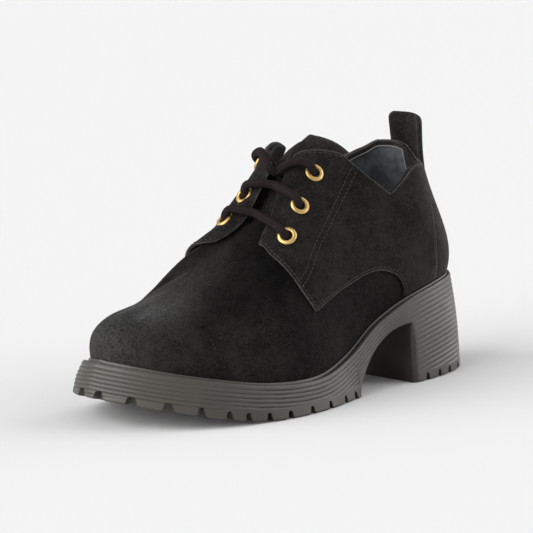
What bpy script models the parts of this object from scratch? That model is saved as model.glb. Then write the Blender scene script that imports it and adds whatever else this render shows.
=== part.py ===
# Left derby shoe: a hollow suede upper with open lacing on a one-piece lug sole with a block heel.
# Toe to +X, outer side to +Y, floor at Z = 0. Tables are in millimetres from the back of the heel.
import bpy
import bmesh
import math
import numpy as np

NAME = "derby_shoe"
MM = 0.001

# Driving sizes in millimetres
WALL = 1.6
OVERLAY = 1.3
GAP = 0.3
PANEL_GAP = 0.5
TONGUE_WALL = 2.2
TONGUE_GAP = 0.8
INSOLE_WALL = 2.5
INSOLE_INSET = 3.2
INSOLE_GAP = 0.55
LEDGE = 4.0
RIM_BEVEL = 0.7
RIB_DEPTH = 0.7
LUG_HEIGHT = 4.2
LUG_SLOT_FOOT = 3.4
LUG_SLOT_TOP = 2.4
LUG_SLOT_REACH = 13.0
LUG_SLOT_PROUD = 4.0
EYELET_RADIUS = 5.2
EYELET_BORE = 2.7
EYELET_BARREL = 3.1
EYELET_HOLE = 3.4
LACE_RADIUS = 1.9
TAB_WALL = 1.3
TAB_TOP = 142.0
TAB_FOOT = 109.0
TAB_HALF_TOP = 1.03
TAB_HALF_FOOT = 0.78
TAB_SLACK = 0.5
TAB_STAND = 0.6

# Upper's base line on the sole, a row for each station from heel to toe
FEATHER = np.array([
    # x_lat  y_lat  x_med  y_med  sole_top
    [5.0, 0.0, 5.0, 0.0, 54.0],
    [8.5, 13.0, 8.5, -12.5, 54.0],
    [19.0, 23.5, 19.0, -22.5, 53.2],
    [38.0, 30.0, 38.0, -28.0, 51.0],
    [62.0, 33.5, 62.0, -28.5, 46.5],
    [90.0, 34.5, 90.0, -26.5, 36.0],
    [116.0, 39.0, 116.0, -27.5, 23.0],
    [142.0, 45.5, 143.0, -33.0, 17.0],
    [166.0, 48.0, 169.0, -38.5, 16.7],
    [190.0, 45.5, 193.0, -40.5, 19.0],
    [212.0, 38.5, 215.0, -38.0, 23.0],
    [232.0, 25.5, 234.0, -31.0, 27.3],
    [245.5, 8.0, 245.5, -20.5, 30.9],
    [250.0, -7.5, 250.0, -7.5, 32.5],
])
# Top of the last at the same stations: the ankle ring behind, the ridge of instep and toes in front
TOP = np.array([
    # x  y_lat  y_med  z  rise  flare  run_lat  run_med  drop
    [27.4, 0.0, 0.0, 150.0, 25.0, 7.8, 0.0, 0.0, 52.0],
    [29.9, 9.3, -9.3, 150.0, 25.0, 8.2, 0.0, 0.0, 52.0],
    [37.0, 16.6, -16.6, 150.0, 26.0, 7.8, 0.0, 0.0, 52.0],
    [49.5, 22.2, -22.2, 150.0, 29.0, 5.8, 0.0, 0.0, 50.0],
    [63.0, 24.5, -24.5, 150.0, 32.0, 3.8, 0.0, 0.0, 46.0],
    [78.0, 22.0, -21.5, 148.5, 34.0, 2.5, 5.0, 5.0, 38.0],
    [92.0, 11.5, -10.5, 144.0, 35.0, 2.0, 14.0, 16.0, 21.0],
    [106.0, 1.0, 1.0, 137.0, 33.0, 2.0, 23.0, 29.0, 6.0],
    [122.0, 1.5, 1.5, 124.5, 30.0, 2.5, 27.0, 38.0, 0.0],
    [143.0, 0.0, 0.0, 100.0, 26.0, 3.0, 27.5, 43.0, 0.0],
    [169.0, -3.0, -3.0, 80.5, 22.5, 3.2, 29.0, 39.0, 0.0],
    [194.0, -6.0, -6.0, 66.0, 20.0, 3.6, 29.0, 32.0, 0.0],
    [212.0, -7.2, -7.2, 60.0, 19.0, 4.0, 27.0, 28.0, 0.0],
    [222.0, -7.5, -7.5, 58.5, 19.0, 4.5, 25.0, 25.0, 0.0],
])
TOE = len(FEATHER) - 1
ROUND = 2 * TOE

# Upper's free edge in runs that meet at corners; each row is a station and a height up the section
COLLAR = {
    "lat": [(0.0, 0.822), (0.35, 0.797), (0.6, 0.77), (0.9, 0.75), (1.4, 0.743), (2.0, 0.747), (2.7, 0.748),
            (3.1, 0.735), (3.4, 0.71), (3.75, 0.675), (4.15, 0.64), (4.41, 0.613)],
    "med": [(0.0, 0.822), (0.5, 0.835), (1.0, 0.837), (1.5, 0.837), (1.8, 0.828), (2.15, 0.808), (2.6, 0.785),
            (3.0, 0.757), (3.4, 0.715), (3.8, 0.672), (4.12, 0.637), (4.41, 0.613)],
}
FLAP_REAR = {
    "lat": [(4.41, 0.613), (4.91, 0.680), (5.37, 0.733), (5.71, 0.776), (6.04, 0.823)],
    "med": [(4.41, 0.613), (5.0, 0.62), (5.5, 0.63), (5.76, 0.655), (5.85, 0.70), (5.88, 0.75), (5.92, 0.80),
            (5.97, 0.82), (6.04, 0.826)],
}
FLAP_TOP = {
    "lat": [(6.04, 0.823), (6.52, 0.848), (7.0, 0.881), (7.41, 0.921), (7.71, 0.955)],
    "med": [(6.04, 0.826), (6.3, 0.832), (6.6, 0.832), (6.9, 0.835), (7.2, 0.85), (7.45, 0.875), (7.71, 0.905)],
}
THROAT = {
    "lat": [(7.71, 0.955), (8.05, 0.92), (8.3, 0.90), (8.55, 0.865), (8.8, 0.87), (9.05, 0.91), (9.3, 1.0)],
    "med": [(7.71, 0.905), (7.9, 0.94), (8.1, 0.97), (8.3, 0.98), (8.55, 0.983), (8.8, 0.983), (9.05, 0.985),
            (9.3, 1.0)],
}
# Flap's inner edge where it leaves the throat, and the quarter's lower edge
FLAP_INNER = {
    "lat": [(8.3, 0.90), (8.55, 0.855), (8.8, 0.815), (8.92, 0.795), (8.98, 0.772), (9.0, 0.762)],
    "med": [(8.55, 0.983), (8.9, 0.983), (9.2, 0.983), (9.4, 0.98), (9.52, 0.968), (9.58, 0.948), (9.6, 0.92)],
}
QUARTER_FRONT = {
    "lat": [(7.26, 0.275), (7.61, 0.343), (7.93, 0.418), (8.14, 0.482), (8.44, 0.579), (8.69, 0.657),
            (8.88, 0.728), (8.97, 0.752), (9.0, 0.762)],
    "med": [(7.26, 0.275), (7.61, 0.335), (7.93, 0.395), (8.14, 0.44), (8.44, 0.51), (8.69, 0.58),
            (8.95, 0.66), (9.2, 0.745), (9.42, 0.83), (9.55, 0.89), (9.6, 0.92)],
}
QUARTER_FOOT = [(4.07, 0.0), (4.12, 0.063), (4.19, 0.106), (4.31, 0.158), (4.52, 0.206), (4.82, 0.250),
                (5.16, 0.275), (5.6, 0.291), (6.17, 0.298), (6.78, 0.289), (7.26, 0.275)]
# Backstay's edge: height up the section and station
BACKSTAY = [(0.0, 2.78), (0.19, 2.78), (0.29, 2.71), (0.39, 2.57), (0.545, 2.25), (0.7, 1.85), (0.84, 1.45),
            (1.0, 1.0)]
# Inner flap stands off the tongue: a slanted station and lift, with shares up the section and along the shoe
FLAP_LIFT = [(5.0, 0.0), (5.6, 3.0), (6.2, 7.0), (6.8, 9.5), (7.3, 8.3), (7.7, 4.5), (8.1, 2.4), (8.5, 1.5),
             (9.0, 1.0), (9.6, 0.0)]
LIFT_SLANT = 4.1
LIFT_LEVEL = 0.85
LIFT_UP = [(0.3, 0.0), (0.55, 1.0)]
LIFT_ALONG = [(4.6, 0.0), (5.6, 1.0), (8.7, 1.0), (9.3, 0.0)]
# Inner flap's own opening over the vamp: station and share, height and share, and the most in millimetres
OPEN_ALONG = [(7.3, 0.0), (7.7, 0.2), (8.1, 0.42), (8.5, 0.75), (8.8, 1.0), (9.6, 1.0)]
OPEN_UP = [(0.3, 0.0), (0.55, 1.0), (0.75, 0.8), (0.95, 0.4)]
OPEN_MOST = 5.5
# Height up the section where the quarters and backstay start, just clear of the sole
PANEL_FOOT = 0.014

# Sole's underside: station and height, with the heel's seat, the arch, the flat forefoot and the toe spring
UNDERSIDE = [(0.0, 35.0), (2.0, 34.6), (4.05, 33.0), (4.45, 31.5), (5.0, 25.0), (5.4, 17.5), (5.7, 9.5),
             (5.86, 4.5), (5.92, 0.0), (8.4, 0.0), (9.0, 0.8), (10.0, 4.6), (11.0, 9.6), (12.0, 13.1),
             (13.0, 14.9)]
GROUND = [(0.0, 0.0), (8.4, 0.0), (9.0, 0.8), (10.0, 4.6), (11.0, 9.6), (12.0, 13.1), (13.0, 14.9)]
SOLE_FLARE = [(0.0, 6.5), (3.0, 6.0), (5.0, 4.6), (9.0, 4.6), (11.0, 5.4), (13.0, 5.7)]
RIB_FADE = [(0.0, 1.0), (3.0, 1.0), (4.05, 0.0), (4.8, 0.1), (5.6, 0.6), (6.2, 1.0), (13.0, 1.0)]
BREAST = 4.05
BAND_RIBS = 6
BAND_RIM = 0.12
BAND_LUGS = 0.78
HEEL_RIBS = 11
HEEL_LUGS = 0.86

# Eyelets, counted from the toe, and lug slots along the outline, as stations
EYELETS = {
    "lat": [(8.14, 0.634), (7.69, 0.688), (6.97, 0.761)],
    "med": [(8.84, 0.864), (8.14, 0.832), (7.2, 0.80)],
}
FORE_SLOTS = [6.12, 6.55, 7.13, 7.76, 8.39, 8.93, 9.45, 9.88, 10.46, 11.1, 11.84, 12.69]
HEEL_SLOTS = [3.63, 3.16, 2.67, 2.1, 1.3, 0.5]

# Lace bars as points on the last: side, station, height up the section, distance out in millimetres
LACE_BARS = [
    [("lat", 8.14, 0.634, 4.6), ("lat", 8.30, 0.682, 6.2), ("lat", 8.52, 0.762, 5.2), ("lat", 8.82, 0.858, 4.9),
     ("lat", 9.0, 0.935, 5.4), ("lat", 9.1, 0.985, 7.0), ("med", 9.04, 0.958, 5.2), ("med", 8.86, 0.905, 6.2),
     ("med", 8.84, 0.864, 4.6)],
    [("lat", 7.69, 0.688, 4.6), ("lat", 7.80, 0.718, 6.2), ("lat", 7.96, 0.77, 5.2), ("lat", 8.18, 0.854, 4.9),
     ("lat", 8.38, 0.93, 6.2), ("lat", 8.5, 0.985, 8.4), ("med", 8.48, 0.96, 5.6), ("med", 8.2, 0.88, 6.2),
     ("med", 8.14, 0.832, 4.6)],
    [("lat", 6.97, 0.761, 4.6), ("lat", 7.2, 0.795, 6.2), ("lat", 7.5, 0.845, 5.7), ("lat", 7.8, 0.894, 5.2),
     ("lat", 8.06, 0.935, 5.2), ("lat", 8.2, 0.97, 7.4), ("lat", 8.26, 0.995, 9.2), ("med", 8.15, 0.965, 6.2),
     ("med", 7.9, 0.93, 5.5), ("med", 7.55, 0.88, 6.2), ("med", 7.34, 0.832, 6.4), ("med", 7.2, 0.80, 4.7)],
]

# Colours and finishes
SUEDE = (0.030, 0.029, 0.029)
LINING = (0.045, 0.050, 0.056)
RUBBER = (0.085, 0.078, 0.073)
BRASS = (0.72, 0.50, 0.20)
LACE = (0.026, 0.023, 0.021)

# Columns of the upper's grid as stations, from the backstay's edge forward, and rows up each section
BACK_COLUMNS = [0.0, 0.2, 0.4, 0.6, 0.8, 1.0]
BACKSTAY_STATION = 2.78
SIDE_STATION = 4.07
COLUMNS = [3.2, 3.64, 4.07, 4.19, 4.41, 4.82, 5.16, 5.6, 6.04, 6.52, 7.0, 7.26, 7.5, 7.71, 8.14, 8.44, 8.69,
           8.88, 9.0, 9.15, 9.3, 9.45, 9.55, 9.6, 10.1, 10.6, 11.1, 11.6, 12.1, 12.4, 12.7, 13.0]
ROWS = 9


def smooth(rows, at):
    """Smooth curve with no overshoot through rows of place and value."""
    xs = np.array([r[0] for r in rows])
    ys = np.array([r[1] for r in rows])
    at = min(max(at, xs[0]), xs[-1])
    step = np.diff(xs)
    rise = np.diff(ys) / step
    pitch = np.zeros(len(xs))
    pitch[0] = rise[0]
    pitch[-1] = rise[-1]
    for i in range(1, len(xs) - 1):
        if rise[i - 1] * rise[i] > 0:
            pitch[i] = 2 * rise[i - 1] * rise[i] / (rise[i - 1] + rise[i])
    i = min(int(np.searchsorted(xs, at, side="right")) - 1, len(xs) - 2)
    h = step[i]
    t = (at - xs[i]) / h
    near = (1 + 2 * t) * (1 - t) ** 2 * ys[i] + t * (1 - t) ** 2 * h * pitch[i]
    far = t * t * (3 - 2 * t) * ys[i + 1] + t * t * (t - 1) * h * pitch[i + 1]
    return near + far


def spline(a, b, c, d, t):
    """Catmull-Rom point between b and c."""
    square = 2 * a - 5 * b + 4 * c - d
    cube = 3 * b - a - 3 * c + d
    return 0.5 * (2 * b + (c - a) * t + square * t ** 2 + cube * t ** 3)


def through(rows, s):
    """Smooth row of an open table at station s."""
    i = int(min(max(math.floor(s), 0), len(rows) - 2))
    b = rows[i]
    c = rows[i + 1]
    a = rows[i - 1] if i > 0 else 2 * b - c
    d = rows[i + 2] if i + 2 < len(rows) else 2 * c - b
    return spline(a, b, c, d, s - i)


OUTLINE = np.concatenate([FEATHER[:, 0:2], FEATHER[-2:0:-1, 2:4]])


def around(u):
    """Point of the closed base line; u counts stations from heel by outer side, toe and inner side."""
    i = int(math.floor(u))
    rows = [OUTLINE[(i + k) % ROUND] for k in (-1, 0, 1, 2)]
    return spline(*rows, u - i)


def station(u):
    """Station from heel to toe at turn u."""
    u = u % ROUND
    return u if u <= TOE else ROUND - u


def side(u):
    return "lat" if u % ROUND <= TOE else "med"


def turn(which, s):
    return s if which == "lat" else ROUND - s


def outward(u):
    """Plan direction out of the base line."""
    d = around(u + 0.02) - around(u - 0.02)
    d = d / np.linalg.norm(d)
    return np.array([d[1], -d[0]]) * OUT_SIGN


def free_edge(u):
    """Height up the section where the upper's wall ends."""
    s = station(u)
    if s >= THROAT["lat"][-1][0]:
        return 1.0
    for runs in (COLLAR, FLAP_REAR, FLAP_TOP):
        run = runs[side(u)]
        if s <= run[-1][0]:
            return smooth(run, s)
    return smooth(THROAT[side(u)], s)


def plain_last(u, t):
    """Point of the last without the lifted flap: t runs from the base line at 0 to the top at 1."""
    s = station(u)
    lateral = side(u) == "lat"
    base = np.append(around(u), through(FEATHER[:, 4], s) + GAP)
    row = through(TOP, s)
    top = np.array([row[0], row[1] if lateral else row[2], row[3]])
    run = row[6] if lateral else row[7]
    ahead = through(TOP, min(s + 0.05, TOE))
    behind = through(TOP, max(s - 0.05, 0.0))
    slope = (ahead[3] - behind[3]) / (ahead[0] - behind[0])
    toward = base[:2] - top[:2]
    toward = toward / np.linalg.norm(toward)
    out = outward(u)
    low = base + np.array([row[5] * out[0], row[5] * out[1], row[4]])
    high = top + np.array([run * toward[0], run * toward[1], run * slope * toward[0] - row[8]])
    k = 1 - t
    return k ** 3 * base + 3 * k * k * t * low + 3 * k * t * t * high + t ** 3 * top


def cross_of(surface, u, t):
    """Outward direction of a surface over turn and height."""
    below = min(t, 0.985)
    du = surface(u + 0.03, below) - surface(u - 0.03, below)
    dt = surface(u, min(t + 0.02, 1.0)) - surface(u, max(t - 0.02, 0.0))
    n = np.cross(du, dt)
    return n / np.linalg.norm(n) * OUT_SIGN


def normal(u, t):
    """Outward direction of the last."""
    return cross_of(plain_last, u, t)


def lifted(u, t):
    """Point of the upper's outer face, with the inner flap standing off the tongue."""
    here = plain_last(u, t)
    s = station(u)
    if side(u) == "lat" or t <= LIFT_UP[0][0] or s <= LIFT_ALONG[0][0] or s >= LIFT_ALONG[-1][0]:
        return here
    height = smooth(FLAP_LIFT, s - (t - LIFT_LEVEL) * LIFT_SLANT) * smooth(LIFT_UP, t) * smooth(LIFT_ALONG, s)
    return here + normal(u, t) * height


def skin(u, t, out=0.0):
    """Point of the upper's outer face, moved out by a distance."""
    return lifted(u, t) + cross_of(lifted, u, t) * out


def sole_wall(u, z, step):
    """Point of the sole's side at a height, with a step in or out."""
    s = station(u)
    top = through(FEATHER[:, 4], s)
    depth = (top - z) / (top - smooth(GROUND, s))
    out = LEDGE + smooth(SOLE_FLARE, s) * depth + step
    xy = around(u) + outward(u) * out
    return np.array([xy[0], xy[1], z])


# The outline turns one way round, so outward is to one side of its direction all along
area = 0.0
for i in range(ROUND):
    here = OUTLINE[i]
    there = OUTLINE[(i + 1) % ROUND]
    area += here[0] * there[1] - here[1] * there[0]
OUT_SIGN = 1.0 if area > 0 else -1.0

# Middle of the sole's widest outline, which becomes the origin
EDGE = np.array([sole_wall(k * 0.1, smooth(GROUND, station(k * 0.1)), 0.0) for k in range(10 * ROUND)])
CENTRE = np.append((EDGE[:, :2].min(axis=0) + EDGE[:, :2].max(axis=0)) / 2, 0.0)

# Scene
for old in list(bpy.data.objects):
    bpy.data.objects.remove(old, do_unlink=True)
parts = bpy.data.collections.new(NAME)
cutters = bpy.data.collections.new("cutters")
for group in (parts, cutters):
    bpy.context.scene.collection.children.link(group)


def material(name, color, roughness, metallic=0.0):
    mat = bpy.data.materials.new(name)
    mat.use_nodes = True
    shader = mat.node_tree.nodes["Principled BSDF"]
    shader.inputs["Base Color"].default_value = (*color, 1.0)
    shader.inputs["Roughness"].default_value = roughness
    shader.inputs["Metallic"].default_value = metallic
    return mat


def make(name, points, faces, mat, group=parts):
    """Object from points in millimetres, welded and facing outward."""
    mesh = bpy.data.meshes.new(name)
    mesh.from_pydata([tuple((np.asarray(p) - CENTRE) * MM) for p in points], [], faces)
    bm = bmesh.new()
    bm.from_mesh(mesh)
    bmesh.ops.remove_doubles(bm, verts=bm.verts, dist=0.01 * MM)
    bmesh.ops.recalc_face_normals(bm, faces=bm.faces)
    bm.to_mesh(mesh)
    bm.free()
    obj = bpy.data.objects.new(name, mesh)
    obj.data.materials.append(mat)
    group.objects.link(obj)
    return obj


def sheet(columns, closed=False):
    """Points and triangles of a grid of columns; panels and wall share the same diagonals."""
    n = len(columns[0])
    points = [p for column in columns for p in column]
    faces = []
    count = len(columns)
    for i in range(count if closed else count - 1):
        a = i * n
        b = ((i + 1) % count) * n
        for k in range(n - 1):
            faces.append((a + k, b + k, b + k + 1))
            faces.append((a + k, b + k + 1, a + k + 1))
    return points, faces


def face_out(obj, inner):
    """Turn an open sheet so that its faces look away from a point inside the shoe."""
    mesh = obj.data
    middle = (np.asarray(inner) - CENTRE) * MM
    total = 0.0
    for face in mesh.polygons:
        total += face.area * float(np.dot(np.array(face.normal), np.array(face.center) - middle))
    if total < 0:
        mesh.flip_normals()


def thicken(obj, thickness):
    """Shell grown inward from the sheet's outer face."""
    shell = obj.modifiers.new("wall", "SOLIDIFY")
    shell.thickness = thickness * MM
    shell.offset = -1.0
    shell.use_rim = True


def subtract(obj, cutter):
    cut = obj.modifiers.new("cut_" + cutter.name, "BOOLEAN")
    cut.operation = "DIFFERENCE"
    cut.solver = "EXACT"
    cut.object = cutter
    cutter.hide_render = True
    cutter.display_type = "WIRE"


def column_turns(which):
    """Columns of one side as functions of height; the rear ones lean with the backstay's edge."""
    def lean(base, t):
        edge = smooth(BACKSTAY, t)
        share = (base - BACKSTAY_STATION) / (SIDE_STATION - BACKSTAY_STATION)
        return edge + (SIDE_STATION - edge) * share
    found = []
    for share in BACK_COLUMNS:
        found.append((share * BACKSTAY_STATION, lambda t, k=share: k * smooth(BACKSTAY, t)))
    for base in COLUMNS:
        if base < SIDE_STATION:
            found.append((base, lambda t, k=base: lean(k, t)))
        else:
            found.append((base, lambda t, k=base: k))
    return [(base, lambda t, f=f: turn(which, f(t))) for base, f in found]


def rows_of(which, place):
    """Heights of one column's rows, up to the free edge."""
    edge = free_edge(place(0.8))
    for again in range(4):
        edge = free_edge(place(edge))
    return [edge * k / ROWS for k in range(ROWS + 1)]


suede = material("suede", SUEDE, 0.95)
lining = material("lining", LINING, 0.7)
rubber = material("rubber", RUBBER, 0.55)
brass = material("brass", BRASS, 0.25, 1.0)
lace_mat = material("lace", LACE, 0.9)
inside = (100.0, 0.0, 60.0)

# Upper: one wall from the base line to the free edge, welded along the ridge in front of the throat
lat_columns = column_turns("lat")
med_columns = column_turns("med")
wall_columns = []
for which, columns in (("lat", lat_columns), ("med", med_columns[-2:0:-1])):
    for base, place in columns:
        wall_columns.append([skin(place(t), t) for t in rows_of(which, place)])
upper = make("upper", *sheet(wall_columns, closed=True), suede)
face_out(upper, inside)
thicken(upper, WALL)


def quarter_foot(which, s):
    if s <= QUARTER_FOOT[0][0]:
        return PANEL_FOOT
    if s <= QUARTER_FOOT[-1][0]:
        return max(smooth(QUARTER_FOOT, s), PANEL_FOOT)
    return smooth(QUARTER_FRONT[which], s)


def quarter_head(which, s, edge):
    return edge if s <= FLAP_INNER[which][0][0] else smooth(FLAP_INNER[which], s)


def flap_open(which, s, t):
    """Distance that the inner flap stands off the vamp, free of its stitching."""
    if which == "lat" or s <= OPEN_ALONG[0][0]:
        return 0.0
    return OPEN_MOST * smooth(OPEN_ALONG, s) * smooth(OPEN_UP, t)


def overlay(name, which_columns, foot, head, front):
    """Panel laid on the upper between a lower and an upper edge."""
    columns = []
    for which, base, place in which_columns:
        if base > front:
            continue
        heights = rows_of(which, place)
        top = head(which, base, heights[-1])
        bottom = foot(which, base)
        clipped = [min(max(t, bottom), top) for t in heights]
        columns.append([skin(place(t), t, PANEL_GAP + OVERLAY + flap_open(which, base, t)) for t in clipped])
    panel = make(name, *sheet(columns), suede)
    face_out(panel, inside)
    thicken(panel, OVERLAY)
    return panel


SEAM = 0.07
SEAM_STATION = BACKSTAY_STATION + SEAM


def seamed(which, base, place):
    """Column of a quarter, drawn clear of the backstay's edge."""
    if base > SEAM_STATION:
        return which, base, place
    shift = SEAM if which == "lat" else -SEAM
    return which, base, lambda t: place(t) + shift


quarters = {}
for which, word, columns in (("lat", "lateral", lat_columns), ("med", "medial", med_columns[::-1])):
    picked = [seamed(which, base, place) for base, place in columns if base > BACKSTAY_STATION - SEAM]
    quarters[which] = overlay("quarter_" + word, picked, quarter_foot, quarter_head, FLAP_INNER[which][-1][0])
back = [("med", base, place) for base, place in med_columns if base < SEAM_STATION][::-1]
back += [("lat", base, place) for base, place in lat_columns if base < SEAM_STATION][1:]
backstay = overlay("backstay", back, lambda w, s: PANEL_FOOT, lambda w, s, edge: edge, SEAM_STATION)

# Tongue below the flaps, from the front of the throat to its rounded top
TONGUE_FRONT = 10.2
TONGUE_TOP = 7.05
TONGUE_TOP_FALL = 1.2
TONGUE_TOP_POWER = 1.6
TONGUE_HALF_FRONT = 0.139
TONGUE_HALF_TOP = 0.185
TONGUE_FREE = [(0.0, 4.2), (0.4, 6.8), (0.75, 6.0), (1.0, 3.5)]
TONGUE_UPRIGHT = 0.5
TONGUE_ACROSS = 8
TONGUE_ALONG = 9
tongue_columns = []
for i in range(-TONGUE_ACROSS // 2, TONGUE_ACROSS // 2 + 1):
    w = 2 * i / TONGUE_ACROSS
    which = "lat" if w >= 0 else "med"
    column = []
    for j in range(TONGUE_ALONG + 1):
        share = j / TONGUE_ALONG
        end = TONGUE_TOP - TONGUE_TOP_FALL * abs(w) ** TONGUE_TOP_POWER
        s = TONGUE_FRONT + (end - TONGUE_FRONT) * share
        half = TONGUE_HALF_FRONT + (TONGUE_HALF_TOP - TONGUE_HALF_FRONT) * share
        t = 1.0 - half * abs(w)
        u = turn(which, s)
        column.append(plain_last(u, t) - normal(u, t) * (WALL + TONGUE_GAP))
    rising = column[-1] - column[-2]
    rising = rising / np.linalg.norm(rising) + np.array([0.0, 0.0, TONGUE_UPRIGHT])
    rising = rising / np.linalg.norm(rising) * smooth(TONGUE_FREE, abs(w))
    column += [column[-1] + rising / 2, column[-1] + rising]
    tongue_columns.append(column)
tongue = make("tongue", *sheet(tongue_columns), suede)
face_out(tongue, inside)
thicken(tongue, TONGUE_WALL)

# Sole: a ribbed band all round, its arch, and the heel block hung below the band
SOLE_STATIONS = [0.0, 0.4, 0.8, 1.2, 1.6, 2.0, 2.6, 3.3, 4.05, 4.45, 5.0, 5.4, 5.7, 5.86, 5.92, 6.5, 7.2, 8.0,
                 8.4, 9.0, 9.5, 10.0, 10.5, 11.0, 11.4, 11.8, 12.2, 12.6, 13.0]
band_rows = [(0.0, -RIM_BEVEL), (0.03, 0.0), (BAND_RIM, 0.0)]
rib_pitch = (BAND_LUGS - BAND_RIM) / BAND_RIBS
for k in range(BAND_RIBS):
    band_rows.append((BAND_RIM + (k + 0.25) * rib_pitch, -RIB_DEPTH))
    band_rows.append((BAND_RIM + (k + 0.7) * rib_pitch, 0.0))
band_rows.append((1.0, 0.0))
heel_rows = []
heel_pitch = HEEL_LUGS / HEEL_RIBS
for k in range(HEEL_RIBS):
    heel_rows.append(((k + 0.4) * heel_pitch, -RIB_DEPTH))
    heel_rows.append(((k + 0.9) * heel_pitch, 0.0))
heel_rows.append((1.0, 0.0))

count = len(SOLE_STATIONS)
turns = SOLE_STATIONS + [ROUND - s for s in SOLE_STATIONS[-2:0:-1]]
total = len(turns)
depth_rows = len(band_rows)
sole_points = []
for u in turns:
    s = station(u)
    high = through(FEATHER[:, 4], s)
    low = smooth(UNDERSIDE, s)
    fade = smooth(RIB_FADE, s)
    for share, step in band_rows:
        groove = step * fade if share > BAND_RIM else step
        sole_points.append(sole_wall(u, high + (low - high) * share, groove))
sole_faces = []
for i in range(total):
    a = i * depth_rows
    b = ((i + 1) % total) * depth_rows
    sole_faces += [(a + k, a + k + 1, b + k + 1, b + k) for k in range(depth_rows - 1)]


def strip(first, last, row_of):
    """Faces across from the outer to the inner side, between two counted stations."""
    for i in range(first, last):
        ring = [row_of(i), row_of(i + 1), row_of((total - i - 1) % total), row_of((total - i) % total)]
        face = list(dict.fromkeys(ring))
        sole_faces.append(tuple(face))


strip(0, count - 1, lambda i: i * depth_rows)
breast = SOLE_STATIONS.index(BREAST)
strip(breast, count - 1, lambda i: i * depth_rows + depth_rows - 1)
heel_ring = [total - i for i in range(breast, 0, -1)] + list(range(breast + 1))
ring_above = [i * depth_rows + depth_rows - 1 for i in heel_ring]
heel_low = {}
for share, step in heel_rows:
    ring_here = []
    for i in heel_ring:
        u = turns[i]
        s = station(u)
        z = smooth(UNDERSIDE, s) * (1 - share)
        ring_here.append(len(sole_points))
        heel_low[i] = len(sole_points)
        sole_points.append(sole_wall(u, z, step * smooth(RIB_FADE, s)))
    for k in range(len(heel_ring)):
        m = (k + 1) % len(heel_ring)
        sole_faces.append((ring_above[k], ring_here[k], ring_here[m], ring_above[m]))
    ring_above = ring_here
strip(0, breast, lambda i: heel_low[i])
sole = make("sole_unit", sole_points, sole_faces, rubber)

# Slots between the lugs, cut in from the sole's lower edge
slot_points = []
slot_faces = []
for slots in (FORE_SLOTS, HEEL_SLOTS):
    for s in slots:
        for which in ("lat", "med"):
            u = turn(which, s)
            z = smooth(GROUND, s)
            edge = sole_wall(u, z, 0.0)
            out = np.append(outward(u), 0.0)
            along = np.array([-out[1], out[0], 0.0])
            first = len(slot_points)
            for reach in (LUG_SLOT_PROUD, -LUG_SLOT_REACH):
                for width, height in ((LUG_SLOT_FOOT, -LUG_HEIGHT), (LUG_SLOT_TOP, LUG_HEIGHT)):
                    for sign in (-1, 1):
                        corner = edge + out * reach + along * sign * width / 2
                        slot_points.append(corner + np.array([0.0, 0.0, height]))
            sides = [(0, 1, 3, 2), (4, 6, 7, 5), (0, 4, 5, 1), (2, 3, 7, 6), (0, 2, 6, 4), (1, 5, 7, 3)]
            slot_faces += [tuple(first + c for c in box_side) for box_side in sides]
lug_slots = make("lug_slots", slot_points, slot_faces, rubber, cutters)
subtract(sole, lug_slots)

# Insole: the base line drawn in, resting on the sole
INSOLE_SHARES = [0.0, 0.33, 0.67, 1.0]
insole_columns = []
for s in SOLE_STATIONS:
    ends = []
    for which in ("lat", "med"):
        u = turn(which, s)
        ends.append(around(u) - outward(u) * INSOLE_INSET)
    z = through(FEATHER[:, 4], s) + INSOLE_GAP + INSOLE_WALL
    column = [np.append(ends[0] + (ends[1] - ends[0]) * k, z) for k in INSOLE_SHARES]
    insole_columns.append(column)
insole = make("insole", *sheet(insole_columns), lining)
face_out(insole, (inside[0], inside[1], 0.0))
thicken(insole, INSOLE_WALL)

# Pull tab: one strip folded into a loop and sewn on behind the backstay
TAB_ACROSS = 4
TAB_LEG_ROWS = 4
TAB_FOLD_ROWS = 4
inner_leg = PANEL_GAP + OVERLAY + TAB_STAND + TAB_WALL
outer_leg = inner_leg + TAB_SLACK + TAB_WALL


def height_for(u, z):
    """Height up the section that reaches a level."""
    low = 0.3
    high = 1.0
    for again in range(30):
        middle = (low + high) / 2
        if plain_last(u, middle)[2] < z:
            low = middle
        else:
            high = middle
    return (low + high) / 2


tab_columns = []
for i in range(TAB_ACROSS + 1):
    levels = [TAB_FOOT + (TAB_TOP - TAB_FOOT) * j / TAB_LEG_ROWS for j in range(TAB_LEG_ROWS + 1)]
    share = 2 * i / TAB_ACROSS - 1
    legs = []
    for j, z in enumerate(levels):
        half = TAB_HALF_FOOT + (TAB_HALF_TOP - TAB_HALF_FOOT) * j / TAB_LEG_ROWS
        u = share * half % ROUND
        t = height_for(u, z)
        legs.append((plain_last(u, t), normal(u, t)))
    hinge, n = legs[-1]
    radius = (outer_leg - inner_leg + TAB_WALL) / 2
    column = [here + out * outer_leg for here, out in legs]
    for j in range(1, TAB_FOLD_ROWS):
        a = math.pi * j / TAB_FOLD_ROWS
        rise = np.array([0.0, 0.0, radius * math.sin(a)])
        column.append(hinge + n * (outer_leg - radius + radius * math.cos(a)) + rise)
    column += [here + out * (inner_leg - TAB_WALL) for here, out in legs[::-1]]
    tab_columns.append(column)
tab = make("pull_tab", *sheet(tab_columns), suede)
fold = (np.mean([c[TAB_LEG_ROWS] for c in tab_columns], axis=0) +
        np.mean([c[-TAB_LEG_ROWS - 1] for c in tab_columns], axis=0)) / 2
face_out(tab, fold)
thicken(tab, TAB_WALL)

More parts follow.
